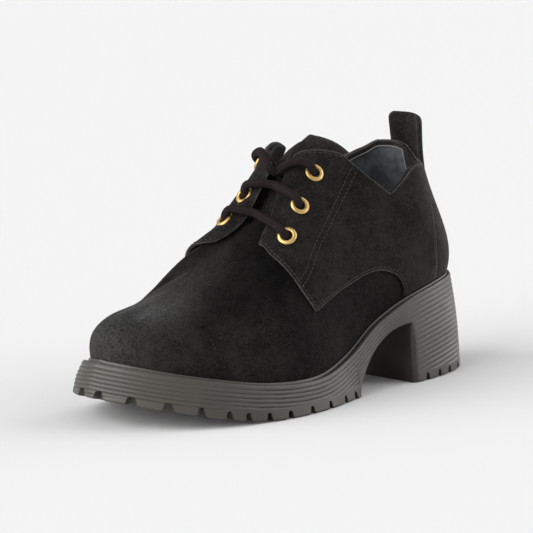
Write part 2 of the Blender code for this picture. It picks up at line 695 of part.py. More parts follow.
# Eyelets: turned rings with a barrel through the flap, and the holes that they sit in
EYELET_SEGMENTS = 10
EYELET_STAND = 0.8
EYELET_DEPTH = 3.6
HOLE_ABOVE = 3.0
HOLE_BELOW = 8.0
EYELET_PROFILE = [(EYELET_RADIUS, EYELET_STAND), (EYELET_RADIUS - 0.2, EYELET_STAND + 0.5),
                  (EYELET_RADIUS - 1.0, EYELET_STAND + 0.9), (EYELET_BORE + 0.5, EYELET_STAND + 0.7),
                  (EYELET_BORE, EYELET_STAND + 0.2), (EYELET_BORE, -EYELET_DEPTH),
                  (EYELET_BARREL, -EYELET_DEPTH), (EYELET_BARREL, EYELET_STAND)]


def flap_face(which, u, t):
    """Point of a flap's outer face."""
    return skin(u, t, PANEL_GAP + OVERLAY + flap_open(which, station(u), t))


def frame_at(which, s, t):
    """Point on a flap with its outward direction and two directions across."""
    u = turn(which, s)
    du = flap_face(which, u + 0.1, t) - flap_face(which, u - 0.1, t)
    dt = flap_face(which, u, t + 0.03) - flap_face(which, u, t - 0.03)
    n = np.cross(du, dt)
    n = n / np.linalg.norm(n) * OUT_SIGN
    a = du / np.linalg.norm(du)
    return flap_face(which, u, t), n, a, np.cross(n, a)


def ring_points(here, n, a, b, profile):
    columns = []
    for k in range(EYELET_SEGMENTS):
        angle = 2 * math.pi * k / EYELET_SEGMENTS
        across = a * math.cos(angle) + b * math.sin(angle)
        columns.append([here + across * r + n * h for r, h in profile])
    return columns


hole_points = {"lat": [], "med": []}
hole_faces = {"lat": [], "med": []}
for which, word in (("lat", "lateral"), ("med", "medial")):
    for number, (s, t) in enumerate(EYELETS[which], 1):
        place = frame_at(which, s, t)
        profile = EYELET_PROFILE + EYELET_PROFILE[:1]
        make("eyelet_%s_%d" % (word, number), *sheet(ring_points(*place, profile), closed=True), brass)
        rod = ring_points(*place, [(EYELET_HOLE, HOLE_ABOVE), (EYELET_HOLE, -HOLE_BELOW)])
        first = len(hole_points[which])
        points, faces = sheet(rod, closed=True)
        hole_points[which] += points
        hole_faces[which] += [tuple(first + c for c in face) for face in faces]
        hole_faces[which].append(tuple(first + 2 * k for k in range(EYELET_SEGMENTS)))
        hole_faces[which].append(tuple(first + 2 * k + 1 for k in range(EYELET_SEGMENTS))[::-1])
for which in ("lat", "med"):
    holes = make("eyelet_holes_" + which, hole_points[which], hole_faces[which], brass, cutters)
    subtract(upper, holes)
    subtract(quarters[which], holes)

# Lace: three bars across the throat, each a tube along its points
LACE_STEPS = 2
for number, bar in enumerate(LACE_BARS, 1):
    knots = [skin(turn(which, s), t, out + flap_open(which, s, t)) for which, s, t, out in bar]
    ends = [2 * knots[0] - knots[1]] + knots + [2 * knots[-1] - knots[-2]]
    path = []
    for i in range(1, len(ends) - 2):
        for j in range(LACE_STEPS):
            path.append(spline(ends[i - 1], ends[i], ends[i + 1], ends[i + 2], j / LACE_STEPS))
    path.append(knots[-1])
    curve = bpy.data.curves.new("lace_path_%d" % number, "CURVE")
    curve.dimensions = "3D"
    line = curve.splines.new("POLY")
    line.points.add(len(path) - 1)
    for point, place in zip(line.points, path):
        point.co = (*((place - CENTRE) * MM), 1.0)
    curve.bevel_depth = LACE_RADIUS * MM
    curve.bevel_resolution = 2
    curve.use_fill_caps = True
    tube = bpy.data.objects.new("lace_path_%d" % number, curve)
    parts.objects.link(tube)
    mesh = bpy.data.meshes.new_from_object(tube)
    bpy.data.objects.remove(tube, do_unlink=True)
    bm = bmesh.new()
    bm.from_mesh(mesh)
    bmesh.ops.remove_doubles(bm, verts=bm.verts, dist=0.01 * MM)
    bm.to_mesh(mesh)
    bm.free()
    bar_object = bpy.data.objects.new("lace_bar_%d" % number, mesh)
    bar_object.data.materials.clear()
    bar_object.data.materials.append(lace_mat)
    parts.objects.link(bar_object)
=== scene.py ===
# Left derby shoe in dark suede with open lacing on a ribbed rubber lug sole with a block heel.
# Toe to +X, outer side to +Y. Sizes are in millimetres, places from the back of the heel. Stations count
# from heel to toe, turns go on round the inner side, and heights run up the last's section from 0 to 1.
import bpy
import bmesh
import math
import numpy as np
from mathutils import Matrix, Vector, kdtree


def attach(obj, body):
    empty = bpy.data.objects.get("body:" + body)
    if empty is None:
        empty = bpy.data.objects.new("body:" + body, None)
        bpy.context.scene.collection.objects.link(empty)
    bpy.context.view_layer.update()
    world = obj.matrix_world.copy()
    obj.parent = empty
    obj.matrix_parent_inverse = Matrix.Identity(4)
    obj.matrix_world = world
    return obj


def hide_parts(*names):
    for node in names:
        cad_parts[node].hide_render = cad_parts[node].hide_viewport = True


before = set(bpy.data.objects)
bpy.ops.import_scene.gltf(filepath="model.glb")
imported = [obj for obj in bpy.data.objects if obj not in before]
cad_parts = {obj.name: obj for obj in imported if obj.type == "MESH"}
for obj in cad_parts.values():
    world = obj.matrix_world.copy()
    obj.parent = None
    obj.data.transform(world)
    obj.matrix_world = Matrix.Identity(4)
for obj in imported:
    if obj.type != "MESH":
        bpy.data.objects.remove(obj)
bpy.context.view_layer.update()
MM = 0.001
UP = np.array([0.0, 0.0, 1.0])

# ---- Curves ----

def curve(rows):
    """Smooth curve with no overshoot through rows of place and value, held level past its ends."""
    xs, ys = np.array(rows, float).T
    step = np.diff(xs)
    rise = np.diff(ys) / step
    pitch = np.zeros(len(xs))
    pitch[0] = rise[0]
    pitch[-1] = rise[-1]
    same = rise[:-1] * rise[1:] > 0
    total = np.where(same, rise[:-1] + rise[1:], 1.0)
    pitch[1:-1] = np.where(same, 2 * rise[:-1] * rise[1:] / total, 0.0)

    def at(x):
        x = np.clip(x, xs[0], xs[-1])
        i = np.clip(np.searchsorted(xs, x, side="right") - 1, 0, len(xs) - 2)
        h = step[i]
        t = (x - xs[i]) / h
        near = (1 + 2 * t) * (1 - t) ** 2 * ys[i] + t * (1 - t) ** 2 * h * pitch[i]
        far = t * t * (3 - 2 * t) * ys[i + 1] + t * t * (t - 1) * h * pitch[i + 1]
        return near + far
    return at


def spline(a, b, c, d, t):
    """Catmull-Rom points between b and c."""
    square = 2 * a - 5 * b + 4 * c - d
    cube = 3 * b - a - 3 * c + d
    return 0.5 * (2 * b + (c - a) * t + square * t ** 2 + cube * t ** 3)


def through(rows):
    """Smooth rows of an open table at any station."""
    ends = np.concatenate([[2 * rows[0] - rows[1]], rows, [2 * rows[-1] - rows[-2]]])

    def at(s):
        i = np.clip(np.floor(s).astype(int), 0, len(rows) - 2)
        return spline(ends[i], ends[i + 1], ends[i + 2], ends[i + 3], (s - i)[..., None])
    return at


# ---- Tables ----

# Camera at the photograph's angle: target and distance in millimetres, angles in degrees
CAMERA_TARGET = (135.563, -1.048, 68.564)
CAMERA_AZIMUTH = 43.841
CAMERA_ELEVATION = 9.315
CAMERA_DISTANCE = 1486.5
CAMERA_LENS = 187.25

# Upper's base line on the sole, a row for each station from heel to toe
FEATHER = np.array([
    # x_lat  y_lat  x_med  y_med  sole_top
    [5.0, 0.0, 5.0, 0.0, 54.0],
    [8.5, 13.0, 8.5, -12.5, 54.0],
    [19.0, 23.5, 19.0, -22.5, 53.2],
    [38.0, 30.0, 38.0, -28.0, 51.0],
    [62.0, 33.5, 62.0, -28.5, 46.5],
    [90.0, 34.5, 90.0, -26.5, 36.0],
    [116.0, 39.0, 116.0, -27.5, 23.0],
    [142.0, 45.5, 143.0, -33.0, 17.0],
    [166.0, 48.0, 169.0, -38.5, 16.7],
    [190.0, 45.5, 193.0, -40.5, 19.0],
    [212.0, 38.5, 215.0, -38.0, 23.0],
    [232.0, 25.5, 234.0, -31.0, 27.3],
    [245.5, 8.0, 245.5, -20.5, 30.9],
    [250.0, -7.5, 250.0, -7.5, 32.5],
])
# Top of the last at the same stations: the ankle ring behind, the ridge of instep and toes in front
TOP = np.array([
    # x  y_lat  y_med  z  rise  flare  run_lat  run_med  drop
    [27.4, 0.0, 0.0, 150.0, 25.0, 7.8, 0.0, 0.0, 52.0],
    [29.9, 9.3, -9.3, 150.0, 25.0, 8.2, 0.0, 0.0, 52.0],
    [37.0, 16.6, -16.6, 150.0, 26.0, 7.8, 0.0, 0.0, 52.0],
    [49.5, 22.2, -22.2, 150.0, 29.0, 5.8, 0.0, 0.0, 50.0],
    [63.0, 24.5, -24.5, 150.0, 32.0, 3.8, 0.0, 0.0, 46.0],
    [78.0, 22.0, -21.5, 148.5, 34.0, 2.5, 5.0, 5.0, 38.0],
    [92.0, 11.5, -10.5, 144.0, 35.0, 2.0, 14.0, 16.0, 21.0],
    [106.0, 1.0, 1.0, 137.0, 33.0, 2.0, 23.0, 29.0, 6.0],
    [122.0, 1.5, 1.5, 124.5, 30.0, 2.5, 27.0, 38.0, 0.0],
    [143.0, 0.0, 0.0, 100.0, 26.0, 3.0, 27.5, 43.0, 0.0],
    [169.0, -3.0, -3.0, 80.5, 22.5, 3.2, 29.0, 39.0, 0.0],
    [194.0, -6.0, -6.0, 66.0, 20.0, 3.6, 29.0, 32.0, 0.0],
    [212.0, -7.2, -7.2, 60.0, 19.0, 4.0, 27.0, 28.0, 0.0],
    [222.0, -7.5, -7.5, 58.5, 19.0, 4.5, 25.0, 25.0, 0.0],
])
TOE = len(FEATHER) - 1
ROUND = 2 * TOE
SIDES = ("lat", "med")
# Steps that measure directions on the last, in stations and in shares of its height
PLAN_STEP = 0.02
TOP_STEP = 0.05
TURN_STEP = 0.03
HEIGHT_STEP = 0.02
HIGHEST = 0.985
EDGE_ROUND = 0.07
RIM_STEP = 0.1

# Walls and clearances
WALL = 1.6
OVERLAY = 1.3
GAP = 0.3
PANEL_GAP = 0.5
PANEL_OUT = PANEL_GAP + OVERLAY
PANEL_FOOT = 0.014
TONGUE_WALL = 2.2
TONGUE_GAP = 0.8
INSOLE_WALL = 2.5
INSOLE_INSET = 3.2
INSOLE_GAP = 0.55
LEDGE = 4.0

# Upper's free edge in runs that meet at corners; each row is a station and a height up the section
COLLAR = {
    "lat": [(0.0, 0.822), (0.35, 0.797), (0.6, 0.77), (0.9, 0.75), (1.4, 0.743), (2.0, 0.747), (2.7, 0.748),
            (3.1, 0.735), (3.4, 0.71), (3.75, 0.675), (4.15, 0.64), (4.41, 0.613)],
    "med": [(0.0, 0.822), (0.5, 0.835), (1.0, 0.837), (1.5, 0.837), (1.8, 0.828), (2.15, 0.808), (2.6, 0.785),
            (3.0, 0.757), (3.4, 0.715), (3.8, 0.672), (4.12, 0.637), (4.41, 0.613)],
}
FLAP_REAR = {
    "lat": [(4.41, 0.613), (4.91, 0.680), (5.37, 0.733), (5.71, 0.776), (6.04, 0.823)],
    "med": [(4.41, 0.613), (5.0, 0.62), (5.5, 0.63), (5.76, 0.655), (5.85, 0.70), (5.88, 0.75), (5.92, 0.80),
            (5.97, 0.82), (6.04, 0.826)],
}
FLAP_TOP = {
    "lat": [(6.04, 0.823), (6.52, 0.848), (7.0, 0.881), (7.41, 0.921), (7.71, 0.955)],
    "med": [(6.04, 0.826), (6.3, 0.832), (6.6, 0.832), (6.9, 0.835), (7.2, 0.85), (7.45, 0.875), (7.71, 0.905)],
}
THROAT = {
    "lat": [(7.71, 0.955), (8.05, 0.92), (8.3, 0.90), (8.55, 0.865), (8.8, 0.87), (9.05, 0.91), (9.3, 1.0)],
    "med": [(7.71, 0.905), (7.9, 0.94), (8.1, 0.97), (8.3, 0.98), (8.55, 0.983), (8.8, 0.983), (9.05, 0.985),
            (9.3, 1.0)],
}
FLAP_INNER = {
    "lat": [(8.3, 0.90), (8.55, 0.855), (8.8, 0.815), (8.92, 0.795), (8.98, 0.772), (9.0, 0.762)],
    "med": [(8.55, 0.983), (8.9, 0.983), (9.2, 0.983), (9.4, 0.98), (9.52, 0.968), (9.58, 0.948), (9.6, 0.92)],
}
QUARTER_FRONT = {
    "lat": [(7.26, 0.275), (7.61, 0.343), (7.93, 0.418), (8.14, 0.482), (8.44, 0.579), (8.69, 0.657),
            (8.88, 0.728), (8.97, 0.752), (9.0, 0.762)],
    "med": [(7.26, 0.275), (7.61, 0.335), (7.93, 0.395), (8.14, 0.44), (8.44, 0.51), (8.69, 0.58),
            (8.95, 0.66), (9.2, 0.745), (9.42, 0.83), (9.55, 0.89), (9.6, 0.92)],
}
QUARTER_FOOT = [(4.07, 0.0), (4.12, 0.063), (4.19, 0.106), (4.31, 0.158), (4.52, 0.206), (4.82, 0.250),
                (5.16, 0.275), (5.6, 0.291), (6.17, 0.298), (6.78, 0.289), (7.26, 0.275)]
# Backstay's edge: height up the section and station
BACKSTAY = [(0.0, 2.78), (0.19, 2.78), (0.29, 2.71), (0.39, 2.57), (0.545, 2.25), (0.7, 1.85), (0.84, 1.45),
            (1.0, 1.0)]
SIDE_STATION = 4.07
SEAM = 0.004
# Inner flap stands off the tongue and, at its front, off the vamp
FLAP_LIFT = curve([(5.0, 0.0), (5.6, 3.0), (6.2, 7.0), (6.8, 9.5), (7.3, 8.3), (7.7, 4.7), (8.1, 3.2),
                   (8.5, 2.6), (9.0, 1.6), (9.6, 0.0)])
LIFT_SLANT = 4.1
LIFT_LEVEL = 0.85
LIFT_UP = curve([(0.3, 0.0), (0.55, 1.0)])
LIFT_ALONG = curve([(4.6, 0.0), (5.6, 1.0), (8.7, 1.0), (9.3, 0.0)])
OPEN_ALONG = curve([(7.3, 0.0), (7.7, 0.2), (8.1, 0.42), (8.5, 0.75), (8.8, 1.0), (9.6, 1.0)])
OPEN_UP = curve([(0.3, 0.0), (0.55, 1.0), (0.75, 0.8), (0.95, 0.4)])
OPEN_MOST = 1.6
# Inner side of the vamp puffed up below the flap's front
PUFF_ALONG = curve([(8.2, 0.0), (8.9, 0.8), (9.3, 1.0), (9.65, 0.6), (10.1, 0.0)])
PUFF_UP = curve([(0.4, 0.0), (0.62, 0.8), (0.74, 1.0), (0.85, 0.8), (1.0, 0.0)])
PUFF_MOST = 4.5

# Sole's side by station: the toe's rise off the ground, underside, ground line and outward slope
TOE_SPRING = [(8.4, 0.0), (9.0, 0.8), (10.0, 4.6), (11.0, 9.6), (12.0, 13.1), (13.0, 14.9)]
UNDERSIDE = curve([(0.0, 35.0), (2.0, 34.6), (4.05, 33.0), (4.45, 31.5), (5.0, 25.0), (5.4, 17.5), (5.7, 9.5),
                   (5.86, 4.5), (5.92, 0.0)] + TOE_SPRING)
GROUND = curve([(0.0, 0.0)] + TOE_SPRING)
SOLE_FLARE = curve([(0.0, 6.5), (3.0, 6.0), (5.0, 4.6), (9.0, 4.6), (11.0, 5.4), (13.0, 5.7)])
BREAST = 4.05
FORE_SLOTS = [6.12, 6.55, 7.13, 7.76, 8.39, 8.93, 9.45, 9.88, 10.46, 11.1, 11.84, 12.69]
HEEL_SLOTS = [3.63, 3.16, 2.67, 2.1, 1.3, 0.5]

# Eyelets, counted from the toe, as station and height
EYELETS = {
    "lat": [(8.14, 0.634), (7.69, 0.688), (6.97, 0.761)],
    "med": [(8.84, 0.864), (8.14, 0.832), (7.2, 0.80)],
}


OUTLINE = np.concatenate([FEATHER[:, 0:2], FEATHER[-2:0:-1, 2:4]])
feather_at = through(FEATHER)
top_at = through(TOP)
collar_at, flap_rear_at, flap_top_at, throat_at, flap_inner_at, quarter_front_at = [
    {which: curve(rows) for which, rows in table.items()}
    for table in (COLLAR, FLAP_REAR, FLAP_TOP, THROAT, FLAP_INNER, QUARTER_FRONT)]
quarter_foot_at = curve(QUARTER_FOOT)
backstay_at = curve(BACKSTAY)


def paired(u, t):
    """Turns and heights as arrays of one shape."""
    return np.broadcast_arrays(np.asarray(u, float), np.asarray(t, float))


def raised(plan, z):
    """Points from plan places and heights."""
    return np.concatenate([plan, z[..., None]], -1)


def around(u):
    """Point of the closed base line; u counts stations from heel by outer side, toe and inner side."""
    i = np.floor(u).astype(int)
    rows = [OUTLINE[(i + k) % ROUND] for k in (-1, 0, 1, 2)]
    return spline(*rows, (u - i)[..., None])


def station(u):
    u = u % ROUND
    return np.where(u <= TOE, u, ROUND - u)


def is_lateral(u):
    return u % ROUND <= TOE


def turn(which, s):
    return s if which == "lat" else ROUND - s


def unit(v):
    return v / np.maximum(np.linalg.norm(v, axis=-1, keepdims=True), 1e-9)


def outward(u):
    """Plan direction out of the base line."""
    d = unit(around(u + PLAN_STEP) - around(u - PLAN_STEP))
    return np.stack([d[..., 1], -d[..., 0]], -1) * OUT_SIGN


def raw_edge(u):
    s = station(u)
    heights = []
    for which in SIDES:
        marks = [s <= rows[which][-1][0] for rows in (COLLAR, FLAP_REAR, FLAP_TOP)]
        runs = [at[which](s) for at in (collar_at, flap_rear_at, flap_top_at)]
        heights.append(np.select(marks, runs, throat_at[which](s)))
    height = np.where(is_lateral(u), *heights)
    return np.where(s >= THROAT["lat"][-1][0], 1.0, height)


def free_edge(u):
    """Height up the section where the upper ends, its corners a little rounded."""
    return sum(raw_edge(u + EDGE_ROUND * k) for k in (-1.0, -0.5, 0.0, 0.5, 1.0)) / 5


def plain_last(u, t):
    """Point of the last: t runs from the base line at 0 to the top at 1."""
    u, t = paired(u, t)
    s = station(u)
    lateral = is_lateral(u)
    plan = around(u)
    base = raised(plan, feather_at(s)[..., 4] + GAP)
    row = top_at(s)
    top = np.stack([row[..., 0], np.where(lateral, row[..., 1], row[..., 2]), row[..., 3]], -1)
    run = np.where(lateral, row[..., 6], row[..., 7])[..., None]
    ahead = top_at(np.minimum(s + TOP_STEP, TOE))
    behind = top_at(np.maximum(s - TOP_STEP, 0.0))
    slope = (ahead[..., 3] - behind[..., 3]) / (ahead[..., 0] - behind[..., 0])
    toward = unit(plan - top[..., :2])
    low = base + raised(outward(u) * row[..., 5:6], row[..., 4])
    high = top + raised(toward * run, run[..., 0] * slope * toward[..., 0] - row[..., 8])
    t = t[..., None]
    k = 1 - t
    return k ** 3 * base + 3 * k * k * t * low + 3 * k * t * t * high + t ** 3 * top


def cross_of(surface, u, t):
    """Outward direction of a surface over turn and height."""
    u, t = paired(u, t)
    below = np.minimum(t, HIGHEST)
    du = surface(u + TURN_STEP, below) - surface(u - TURN_STEP, below)
    over, under = np.minimum(t + HEIGHT_STEP, 1.0), np.maximum(t - HEIGHT_STEP, 0.0)
    dt = surface(u, over) - surface(u, under)
    return unit(np.cross(du, dt)) * OUT_SIGN


def lifted(u, t):
    """Point of the upper's outer face, with the inner flap standing off the tongue."""
    u, t = paired(u, t)
    s = station(u)
    height = FLAP_LIFT(s - (t - LIFT_LEVEL) * LIFT_SLANT) * LIFT_UP(t) * LIFT_ALONG(s)
    height = height + PUFF_MOST * PUFF_ALONG(s) * PUFF_UP(t)
    height = np.where(is_lateral(u), 0.0, height)
    return plain_last(u, t) + cross_of(plain_last, u, t) * height[..., None]


def flap_open(u, t):
    """Distance that the inner flap stands off the vamp, free of its stitching."""
    s = station(u)
    return np.where(is_lateral(u), 0.0, OPEN_MOST * OPEN_ALONG(s) * OPEN_UP(t))


def skin(u, t, out=0.0):
    """Point of the upper's outer face moved out by a distance, and its outward direction."""
    n = cross_of(lifted, u, t)
    return lifted(u, t) + n * np.asarray(out)[..., None], n


def panel_face(u, t):
    """Point of the overlays' outer face."""
    return skin(u, t, PANEL_OUT + flap_open(u, t))[0]


def sole_wall(u, z, step):
    """Point of the sole's side at a height, with a step in or out."""
    s = station(u)
    top = feather_at(s)[..., 4]
    depth = (top - z) / (top - GROUND(s))
    out = LEDGE + SOLE_FLARE(s) * depth + step
    return raised(around(u) + outward(u) * out[..., None], z)


ahead_xy = np.roll(OUTLINE, -1, axis=0)
OUT_SIGN = np.sign((OUTLINE[:, 0] * ahead_xy[:, 1] - OUTLINE[:, 1] * ahead_xy[:, 0]).sum())
ring = np.arange(0, ROUND, RIM_STEP)
rim = sole_wall(ring, GROUND(station(ring)), np.zeros_like(ring))
CENTRE = np.append((rim[:, :2].min(axis=0) + rim[:, :2].max(axis=0)) / 2, 0.0)


# ---- Meshes ----

def scene_points(points):
    return (np.asarray(points) - CENTRE).reshape(-1, 3) * MM


def add_object(name, data):
    made = bpy.data.objects.new(name, data)
    bpy.context.collection.objects.link(made)
    return made


def make_object(name, points, faces, edges=()):
    """Mesh object from points in table millimetres."""
    mesh = bpy.data.meshes.new(name)
    mesh.from_pydata(scene_points(points).tolist(), list(edges), [tuple(map(int, face)) for face in faces])
    mesh.update()
    return add_object(name, mesh)


def grid_faces(columns, rows, closed=False, start=0):
    """Quads of a grid of columns by rows, the last column joined to the first where closed."""
    i = np.arange(columns if closed else columns - 1)
    j = np.arange(rows - 1)
    a, k = np.meshgrid(i, j, indexing="ij")
    b = (a + 1) % columns
    quads = np.stack([a * rows + k, b * rows + k, b * rows + k + 1, a * rows + k + 1], -1)
    return (quads.reshape(-1, 4) + start).tolist()


def tube_faces(sides, rows):
    """Faces of a grid closed round its sides, with both ends capped."""
    caps = [[k * rows + end for k in range(sides)] for end in (0, rows - 1)]
    return grid_faces(sides, rows, closed=True) + caps


def tidy_mesh(piece, weld=0.0, turn_out=True):
    """Welds points nearer than a distance and turns faces outward."""
    mesh = bmesh.new()
    mesh.from_mesh(piece.data)
    if weld:
        bmesh.ops.remove_doubles(mesh, verts=mesh.verts, dist=weld * MM)
    if turn_out:
        bmesh.ops.recalc_face_normals(mesh, faces=mesh.faces)
    mesh.to_mesh(piece.data)
    mesh.free()


def face_out(piece, normals):
    """Turns an open sheet's faces to its points' outward directions."""
    mesh = piece.data
    polygon = mesh.polygons[len(mesh.polygons) // 2]
    if Vector(np.asarray(normals).reshape(-1, 3)[polygon.vertices[0]]).dot(polygon.normal) < 0:
        mesh.flip_normals()


def set_values(piece, name, values):
    """Stores a number on each point for materials."""
    layer = piece.data.attributes.new(name, "FLOAT", "POINT")
    values = np.broadcast_to(np.ravel(np.asarray(values, np.float32)), len(piece.data.vertices))
    layer.data.foreach_set("value", np.ascontiguousarray(values))


def paint(piece, edge=0.0, scuff=0.0, tone=1.0):
    """Stores a suede piece's worn edges, scuffs and tone."""
    for name, values in (("edge", edge), ("scuff", scuff), ("tone", tone)):
        set_values(piece, name, values)


SMOOTH_ANGLE = math.radians(50)
BEVEL_ANGLE = math.radians(55)


def finish_mesh(piece):
    """Applies a piece's modifiers and shades it smooth across soft edges."""
    graph = bpy.context.evaluated_depsgraph_get()
    mesh = bpy.data.meshes.new_from_object(piece.evaluated_get(graph))
    piece.modifiers.clear()
    old = piece.data
    piece.data = mesh
    bpy.data.meshes.remove(old)
    mesh.name = piece.name
    mesh.shade_smooth()
    mesh.set_sharp_from_angle(angle=SMOOTH_ANGLE)


def thicken(piece, wall, rim, segments=2, inside=0):
    """Gives a sheet its wall inward, with rounded rims and a material slot for the inside."""
    solid = piece.modifiers.new("wall", "SOLIDIFY")
    solid.thickness = wall * MM
    solid.offset = -1.0
    solid.use_even_offset = False
    solid.material_offset = inside
    soft = piece.modifiers.new("rim", "BEVEL")
    soft.width = rim * MM
    soft.segments = segments
    soft.limit_method = "ANGLE"
    soft.angle_limit = BEVEL_ANGLE
    finish_mesh(piece)


def make_sheet(name, points, normals, faces, material, wall, rim, segments=2, **wear):
    """Piece of sheet with its outer face on the points; wear goes to paint."""
    piece = make_object(name, points, faces)
    if wear:
        paint(piece, **wear)
    face_out(piece, normals)
    piece.data.materials.append(material)
    thicken(piece, wall, rim, segments)
    return piece


def cut(piece, cutters, name):
    """Takes closed cutter shapes out of a piece."""
    points, faces = [], []
    for shape_points, shape_faces in cutters:
        faces += [[v + len(points) for v in face] for face in shape_faces]
        points += list(shape_points)
    tool = make_object(name, np.array(points), faces)
    tidy_mesh(tool)
    step = piece.modifiers.new("cut", "BOOLEAN")
    step.operation = "DIFFERENCE"
    step.solver = "EXACT"
    step.use_self = True
    step.object = tool
    finish_mesh(piece)
    bpy.data.objects.remove(tool)


def prism(loop, axis):
    """Closed shape from a loop of points swept along a direction."""
    count = len(loop)
    points = loop + [p + axis for p in loop]
    faces = [list(range(count)), list(range(count, 2 * count))]
    faces += [[k, (k + 1) % count, count + (k + 1) % count, count + k] for k in range(count)]
    return points, faces


# ---- Materials ----

SUEDE_DARK, SUEDE_LIGHT = (0.0085, 0.0076, 0.0072, 1), (0.0315, 0.029, 0.0275, 1)
EDGE_GREY, SCUFF_GREY = (0.085, 0.082, 0.08, 1), (0.081, 0.0815, 0.0815, 1)
SHEEN_TINT = (0.8, 0.78, 0.76, 1)
RUBBER_DARK, RUBBER_LIGHT = (0.0238, 0.0193, 0.0138, 1), (0.0385, 0.0325, 0.024, 1)
# colour of the dust, also a painted highlight at toe and heel
RUBBER_DUST_AND_HIGHLIGHT = (0.0635, 0.058, 0.0495, 1)
# Where the dust and a painted highlight start and are full along the sole, in metres from its middle
TOE_DUST_AND_HIGHLIGHT, HEEL_DUST_AND_HIGHLIGHT, HEEL_SHARE = (0.04, 0.11), (-0.06, -0.12), 0.7
LINING_DARK, LINING_LIGHT = (0.058, 0.0605, 0.067, 1), (0.118, 0.1215, 0.132, 1)
BRASS_BRIGHT, BRASS_DULL = (0.72, 0.50, 0.20, 1), (0.56, 0.375, 0.14, 1)
# Cord's colour in the painted shade between its strands, and on the strand tops
CORD_GAP_SHADE, CORD_LIGHT = (0.0016, 0.0011, 0.0011, 1), (0.037, 0.026, 0.0265, 1)


def connect(tree, made, inputs):
    """Sets a node's inputs to values or to the sockets that feed them."""
    for key, value in inputs.items():
        if isinstance(value, bpy.types.NodeSocket):
            tree.links.new(value, made.inputs[key])
        else:
            made.inputs[key].default_value = value


def node(tree, kind, inputs=None, **settings):
    """Adds a node, sets its properties and connects its inputs."""
    made = tree.nodes.new(kind)
    for key, value in settings.items():
        setattr(made, key, value)
    connect(tree, made, inputs or {})
    return made


def blend(tree, factor, a, b):
    """Mixes two colours."""
    return node(tree, "ShaderNodeMix", {0: factor, 6: a, 7: b}, data_type="RGBA").outputs[2]


def noise(tree, place, size, detail=3.0, roughness=0.55):
    """Noise with features of about a size in millimetres."""
    inputs = {"Vector": place, "Scale": 1000.0 / size, "Detail": detail, "Roughness": roughness}
    return node(tree, "ShaderNodeTexNoise", inputs).outputs["Fac"]


def span(tree, value, low, high, start=0.0, end=1.0):
    """Maps a value's range to another, clamped and eased."""
    inputs = {"Value": value, "From Min": low, "From Max": high, "To Min": start, "To Max": end}
    return node(tree, "ShaderNodeMapRange", inputs, interpolation_type="SMOOTHSTEP").outputs["Result"]


def number(tree, operation, a, b):
    return node(tree, "ShaderNodeMath", {0: a, 1: b}, operation=operation).outputs[0]


def attribute(tree, name):
    return node(tree, "ShaderNodeAttribute", attribute_name=name).outputs["Fac"]


def new_material(name):
    """Material, its tree, its main shader and its object coordinates."""
    material = bpy.data.materials.new(name)
    material.use_nodes = True
    tree = material.node_tree
    place = node(tree, "ShaderNodeTexCoord").outputs["Object"]
    return material, tree, tree.nodes["Principled BSDF"], place


def dress(tree, shader, inputs, height, strength, depth):
    """Connects the main shader's inputs and a fine relief of a depth in millimetres."""
    bump = node(tree, "ShaderNodeBump", {"Height": height, "Strength": strength, "Distance": depth * MM})
    connect(tree, shader, {**inputs, "Normal": bump.outputs["Normal"]})


def make_suede(name):
    """Napped suede: cloudy tone, brushed flecks, pale worn edges and scuffs."""
    material, tree, shader, place = new_material(name)
    cloud = noise(tree, place, size=22.0, detail=2.0)
    patch = noise(tree, place, size=5.0, roughness=0.6)
    fleck = noise(tree, place, size=1.3, roughness=0.65)
    fibre = noise(tree, place, size=0.5, detail=2.0, roughness=0.6)
    tone = number(tree, "MULTIPLY", cloud, 0.5)
    for part, share in ((patch, 0.4), (fleck, 0.75), (fibre, 0.5)):
        tone = number(tree, "ADD", tone, number(tree, "MULTIPLY", part, share))
    base = blend(tree, span(tree, tone, 0.83, 1.32), SUEDE_DARK, SUEDE_LIGHT)
    base = node(tree, "ShaderNodeVectorMath", {0: base, "Scale": attribute(tree, "tone")},
                operation="SCALE").outputs[0]
    ragged = span(tree, fleck, 0.3, 0.62, 0.3, 1.0)
    base = blend(tree, number(tree, "MULTIPLY", attribute(tree, "edge"), ragged), base, EDGE_GREY)
    brushed = span(tree, fleck, 0.3, 0.68, 0.25, 1.0)
    base = blend(tree, number(tree, "MULTIPLY", attribute(tree, "scuff"), brushed), base, SCUFF_GREY)
    height = number(tree, "ADD", fibre, number(tree, "MULTIPLY", fleck, 1.5))
    dress(tree, shader, {"Base Color": base, "Roughness": 0.95, "Specular IOR Level": 0.05,
                         "Sheen Weight": 0.16, "Sheen Roughness": 0.3, "Sheen Tint": SHEEN_TINT},
          height, strength=0.6, depth=0.4)
    return material


def make_rubber(name):
    """Moulded rubber with a satin skin, paler towards toe and heel with dust and a painted highlight."""
    material, tree, shader, place = new_material(name)
    cloud = noise(tree, place, size=18.0, detail=4.0)
    grain = noise(tree, place, size=0.5, detail=2.0)
    base = blend(tree, span(tree, cloud, 0.3, 0.7), RUBBER_DARK, RUBBER_LIGHT)
    along = node(tree, "ShaderNodeSeparateXYZ", {0: place}).outputs["X"]
    heel = span(tree, along, *HEEL_DUST_AND_HIGHLIGHT, 0.0, HEEL_SHARE)
    # dust and a painted highlight towards toe and heel, where the side lights fall
    base = blend(tree, number(tree, "MAXIMUM", span(tree, along, *TOE_DUST_AND_HIGHLIGHT), heel), base, RUBBER_DUST_AND_HIGHLIGHT)
    rough = span(tree, cloud, 0.3, 0.7, 0.36, 0.5)
    dress(tree, shader, {"Base Color": base, "Roughness": rough, "Specular IOR Level": 0.5},
          grain, strength=0.2, depth=0.06)
    return material


